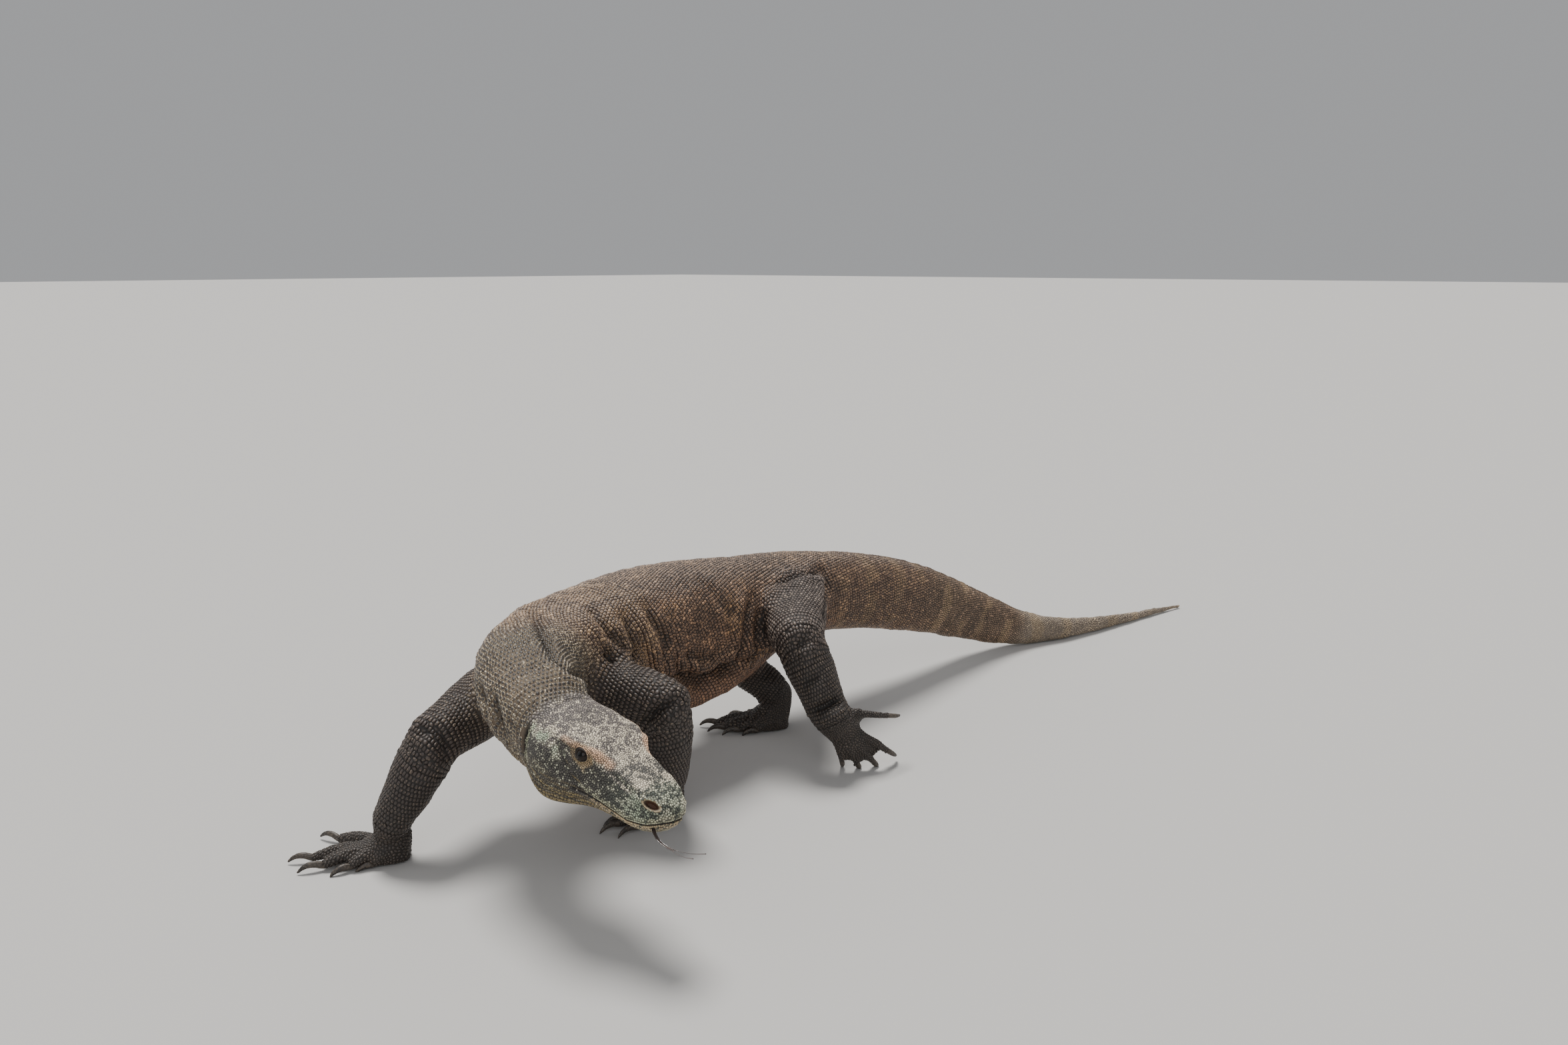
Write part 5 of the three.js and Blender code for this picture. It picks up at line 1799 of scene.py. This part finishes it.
def unwrapped(nodes):  # an unwrap of the skin under a piece of the coat, read at the roots of its scales
    members = np.isin(skinOwners[skinTriangles[:, 0]], [ownerIndex[n] for n in nodes])
    triangles = skinTriangles[members]
    used, inverse = np.unique(triangles, return_inverse=True)
    sheet = bpy.data.meshes.new("unwrap")
    sheet.from_pydata(skinPoints[used].tolist(), [], inverse.reshape(-1, 3).tolist())
    holder = placed("unwrap", sheet)
    bpy.context.view_layer.objects.active = holder
    holder.select_set(True)
    bpy.ops.object.mode_set(mode="EDIT")
    bpy.ops.mesh.select_all(action="SELECT")
    bpy.ops.uv.smart_project(angle_limit=math.radians(66), island_margin=0.004)
    bpy.ops.object.mode_set(mode="OBJECT")
    flat = read(sheet.uv_layers.active.data, "uv", 2)
    bpy.data.objects.remove(holder)
    bpy.data.meshes.remove(sheet)
    corners = np.full((len(skinTriangles), 3, 2), 0.5)
    corners[members] = flat.reshape(-1, 3, 2)
    return members, corners


scaleRoots = np.zeros((scaleCount, 2))
grainRoots = np.zeros((len(grainPlaces), 2))
coat = {}
for seed, (name, nodes) in enumerate(coatPieces.items()):
    members, corners = unwrapped(nodes)
    chosen = np.flatnonzero(members[scaleFaces] & ~scaleBare)
    scaleRoots[chosen] = rootsOn(corners, scaleFaces[chosen], scaleShares[chosen])
    small = np.flatnonzero(members[grainFaces])
    grainRoots[small] = rootsOn(corners, grainFaces[small], grainShares[small])
    parts = [scaleParts(chosen, 100 + seed)] + ([grainParts(small, 200 + seed)] if len(small) else [])
    parts += [platesIn(rows, members, corners) for rows in plateSets if members[rows["faces"]].any()]
    coat[name] = meshOf(name, parts)
    print(name, len(chosen), "scales and", len(small), "grains")
print("coat built")


def finishPiece(mesh, name, material, nodes):
    piece = placed(name, mesh)
    mesh.materials.append(material)
    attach(piece, "root")
    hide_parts(*nodes)


def makeSkinPiece():
    write(skinMesh.vertices, "co", skinPoints)
    smoothShaded(skinMesh)
    setTint(skinMesh, skinColours)
    skinMesh.update()
    finishPiece(skinMesh, "skin", bareHide, fleshNodes)


makeSkinPiece()
for name, nodes in coatPieces.items():
    finishPiece(coat[name], name, scaleHide, nodes)
print("skin and coat dressed")

eyeForm = {
    "rings": 26,
    "spokes": 40,
    "pupil": 20.0,  # half the angle that each part spans, in degrees
    "iris": 46.0,
    "bulge": 0.0005,
    "inset": 0.0002,  # how much smaller the ball is than in the CAD
}
eyeTones = {name: linear(tone) for name, tone in {
    "iris": "120c08", "streak": "2a1b10", "white": "100c0a", "pupil": "030303",
}.items()}


def glossyMaterial(name, values, bump=0.0):
    material, shader = newMaterial(name, {"Coat Roughness": 0.03, **values})
    tree = material.node_tree
    tint = addNode(tree, "ShaderNodeAttribute", attribute_name="tint").outputs["Color"]
    noise = noiseOf(tree, 900.0, 3.0)
    toned = colourMix(tree, 0.6, tint, ranged(tree, noise, 0.3, 0.7, 0.75, 1.2), "MULTIPLY")
    feed(tree, shader, {"Base Color": toned})
    if bump:
        relief = addNode(tree, "ShaderNodeBump", {"Strength": bump, "Distance": 0.0004, "Height": noise})
        feed(tree, shader, {"Normal": relief.outputs["Normal"]})
    return material


def makeEye(side, sign):  # rings from the middle of the pupil to the back of the ball
    out = unit(np.array(lids["out"]) * (1, sign, 1)) @ headTurn.T
    across = unit(np.cross(out, [0, 0, 1]))
    up = np.cross(across, out)
    rings, spokes = eyeForm["rings"], eyeForm["spokes"]
    tilt = np.linspace(0, math.pi, rings + 1)[1:-1]
    turn = np.arange(spokes) * 2 * math.pi / spokes
    degrees = np.degrees(tilt)
    ball = eyeRadius - eyeForm["inset"]
    radius = ball + eyeForm["bulge"] * (1 - ramp(degrees, 20, 50))
    ways = np.cos(tilt)[:, None, None] * out + np.sin(tilt)[:, None, None] * (
        np.cos(turn)[None, :, None] * across + np.sin(turn)[None, :, None] * up)
    points = (ways * radius[:, None, None]).reshape(-1, 3)
    points = np.concatenate([[out * (ball + eyeForm["bulge"])], points, [-out * ball]])
    faces = []
    for k in range(spokes):
        n = (k + 1) % spokes
        faces.append((0, 1 + k, 1 + n))
        for r in range(rings - 2):
            a = 1 + r * spokes
            faces.append((a + k, a + spokes + k, a + spokes + n, a + n))
        last = 1 + (rings - 2) * spokes
        faces.append((last + k, len(points) - 1, last + n))
    mesh = bpy.data.meshes.new("eyeball_" + side)
    mesh.from_pydata((points + np.array(eyeCentres[side])).tolist(), [], faces)
    angle = np.concatenate([[0], np.repeat(degrees, spokes), [180]])
    streak = 0.5 + 0.5 * np.sin(turn * 13 + np.sin(turn * 5))
    streak = np.concatenate([[0.5], np.tile(streak, rings - 1), [0.5]])
    pupil = 1 - ramp(angle, eyeForm["pupil"] - 2, eyeForm["pupil"] + 2)
    colours = mixed(np.tile(eyeTones["iris"], (len(angle), 1)), eyeTones["streak"],
                    0.7 * streak * ramp(angle, 20, 36))
    colours = mixed(colours, eyeTones["white"], ramp(angle, eyeForm["iris"], eyeForm["iris"] + 6))
    colours = mixed(colours, eyeTones["pupil"], pupil)
    setTint(mesh, colours)
    smoothShaded(mesh)
    finishPiece(mesh, "eyeball_" + side, eyeGlass, ["eye_" + side])


eyeGlass = glossyMaterial("wet eye", {"Roughness": 0.05, "Coat Weight": 0.15, "Specular IOR Level": 0.2})
makeEye("left", 1)
makeEye("right", -1)


def rounded(nodes):  # the CAD form with its facets rounded off, at its own girth
    whole = bmesh.new()
    for name in nodes:
        whole.from_mesh(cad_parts[name].data)
    bmesh.ops.remove_doubles(whole, verts=whole.verts, dist=1e-5)
    mesh = bpy.data.meshes.new("rounded")
    whole.to_mesh(mesh)
    whole.free()
    holder = placed("rounded", mesh)
    divide = holder.modifiers.new("divide", "SUBSURF")
    divide.levels = divide.render_levels = 2
    smooth = applied(holder)
    co = coordinates(smooth)
    tree = treeOf(*nodeTriangles(nodes)[:2])
    gap = np.array([(Vector(p) - tree.find_nearest(Vector(p))[0]).length for p in co])
    co += normalsOf(smooth) * spread(gap, edgesOf(smooth), 6)[:, None] * 0.8
    return smooth, co


clawNodes = [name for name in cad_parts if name.startswith("claw_")]


clawForm = {
    "groove": 0.00012,  # depth of the grooves in the horn
    "thicker": 0.0009,  # how much stouter the horn is than in the CAD
    "rooted": 0.0045,  # how far the root goes into the toe
}
clawTones = {name: linear(tone) for name, tone in {
    "root": "3a332d", "tip": "241f1c", "streak": "6b6053",
}.items()}


def makeClaws():
    for limb in limbNodes:
        names = sorted(name for name in clawNodes if name.startswith("claw_" + limb))
        joined = bmesh.new()
        colours = []
        for name in names:
            mesh, co = rounded([name])
            foot = nodeTree(limbNodes[limb][2])
            rooted = np.array([foot.find_nearest(Vector(p))[3] for p in co])
            share = rooted / max(rooted.max(), 1e-6)
            ridge = np.sin(share * 34 + 2.0 * softNoise(co, 0.004, 51)) * clawForm["groove"]
            thicker = clawForm["thicker"] * ramp(share, 0.05, 0.5) * (1 - 0.4 * ramp(share, 0.8, 1.0))
            thicker = thicker * ramp(co[:, 2], 0.001, 0.004)
            co += normalsOf(mesh, co) * (ridge * (share > 0.1) * (share < 0.9) + thicker)[:, None]
            back = unit(co[share < 0.06].mean(axis=0) - co[(share > 0.1) & (share < 0.4)].mean(axis=0))
            co += back * (clawForm["rooted"] * (1 - ramp(share, 0.0, 0.14)))[:, None]
            co[:, 2] = np.maximum(co[:, 2], 0.0)
            write(mesh.vertices, "co", co)
            streak = softNoise(co, 0.0016, 52)
            tone = mixed(np.tile(clawTones["root"], (len(co), 1)), clawTones["tip"], ramp(share, 0.2, 0.9))
            colours.append(mixed(tone, clawTones["streak"], 0.7 * streak * ramp(streak, 0.4, 0.7)))
            joined.from_mesh(mesh)
            bpy.data.meshes.remove(mesh)
        whole = bpy.data.meshes.new("claws_" + limb)
        joined.to_mesh(whole)
        joined.free()
        setTint(whole, np.concatenate(colours))
        smoothShaded(whole)
        finishPiece(whole, "claws_" + limb, clawHorn, names)


clawHorn = glossyMaterial("claw horn", {"Roughness": 0.5, "Coat Weight": 0.05}, 0.5)
makeClaws()


tongueInset = 0.0011  # how much slimmer the tongue is than in the CAD
tongueTones = {"root": linear("2b1f1f"), "tip": linear("6d6462")}


def makeTongue():
    mesh, co = rounded(["tongue"])
    mesh.name = "forked_tongue"
    co -= normalsOf(mesh, co) * tongueInset
    write(mesh.vertices, "co", co)
    h = toHead(co)
    share = ramp(h[:, 0], h[:, 0].min(), h[:, 0].max())
    setTint(mesh, mixed(np.tile(tongueTones["root"], (len(co), 1)), tongueTones["tip"], share))
    smoothShaded(mesh)
    finishPiece(mesh, "forked_tongue", wetTongue, ["tongue"])


wetTongue = glossyMaterial("wet tongue", {"Roughness": 0.25, "Coat Weight": 0.6}, 0.3)
makeTongue()
print("eyes, claws and tongue made")
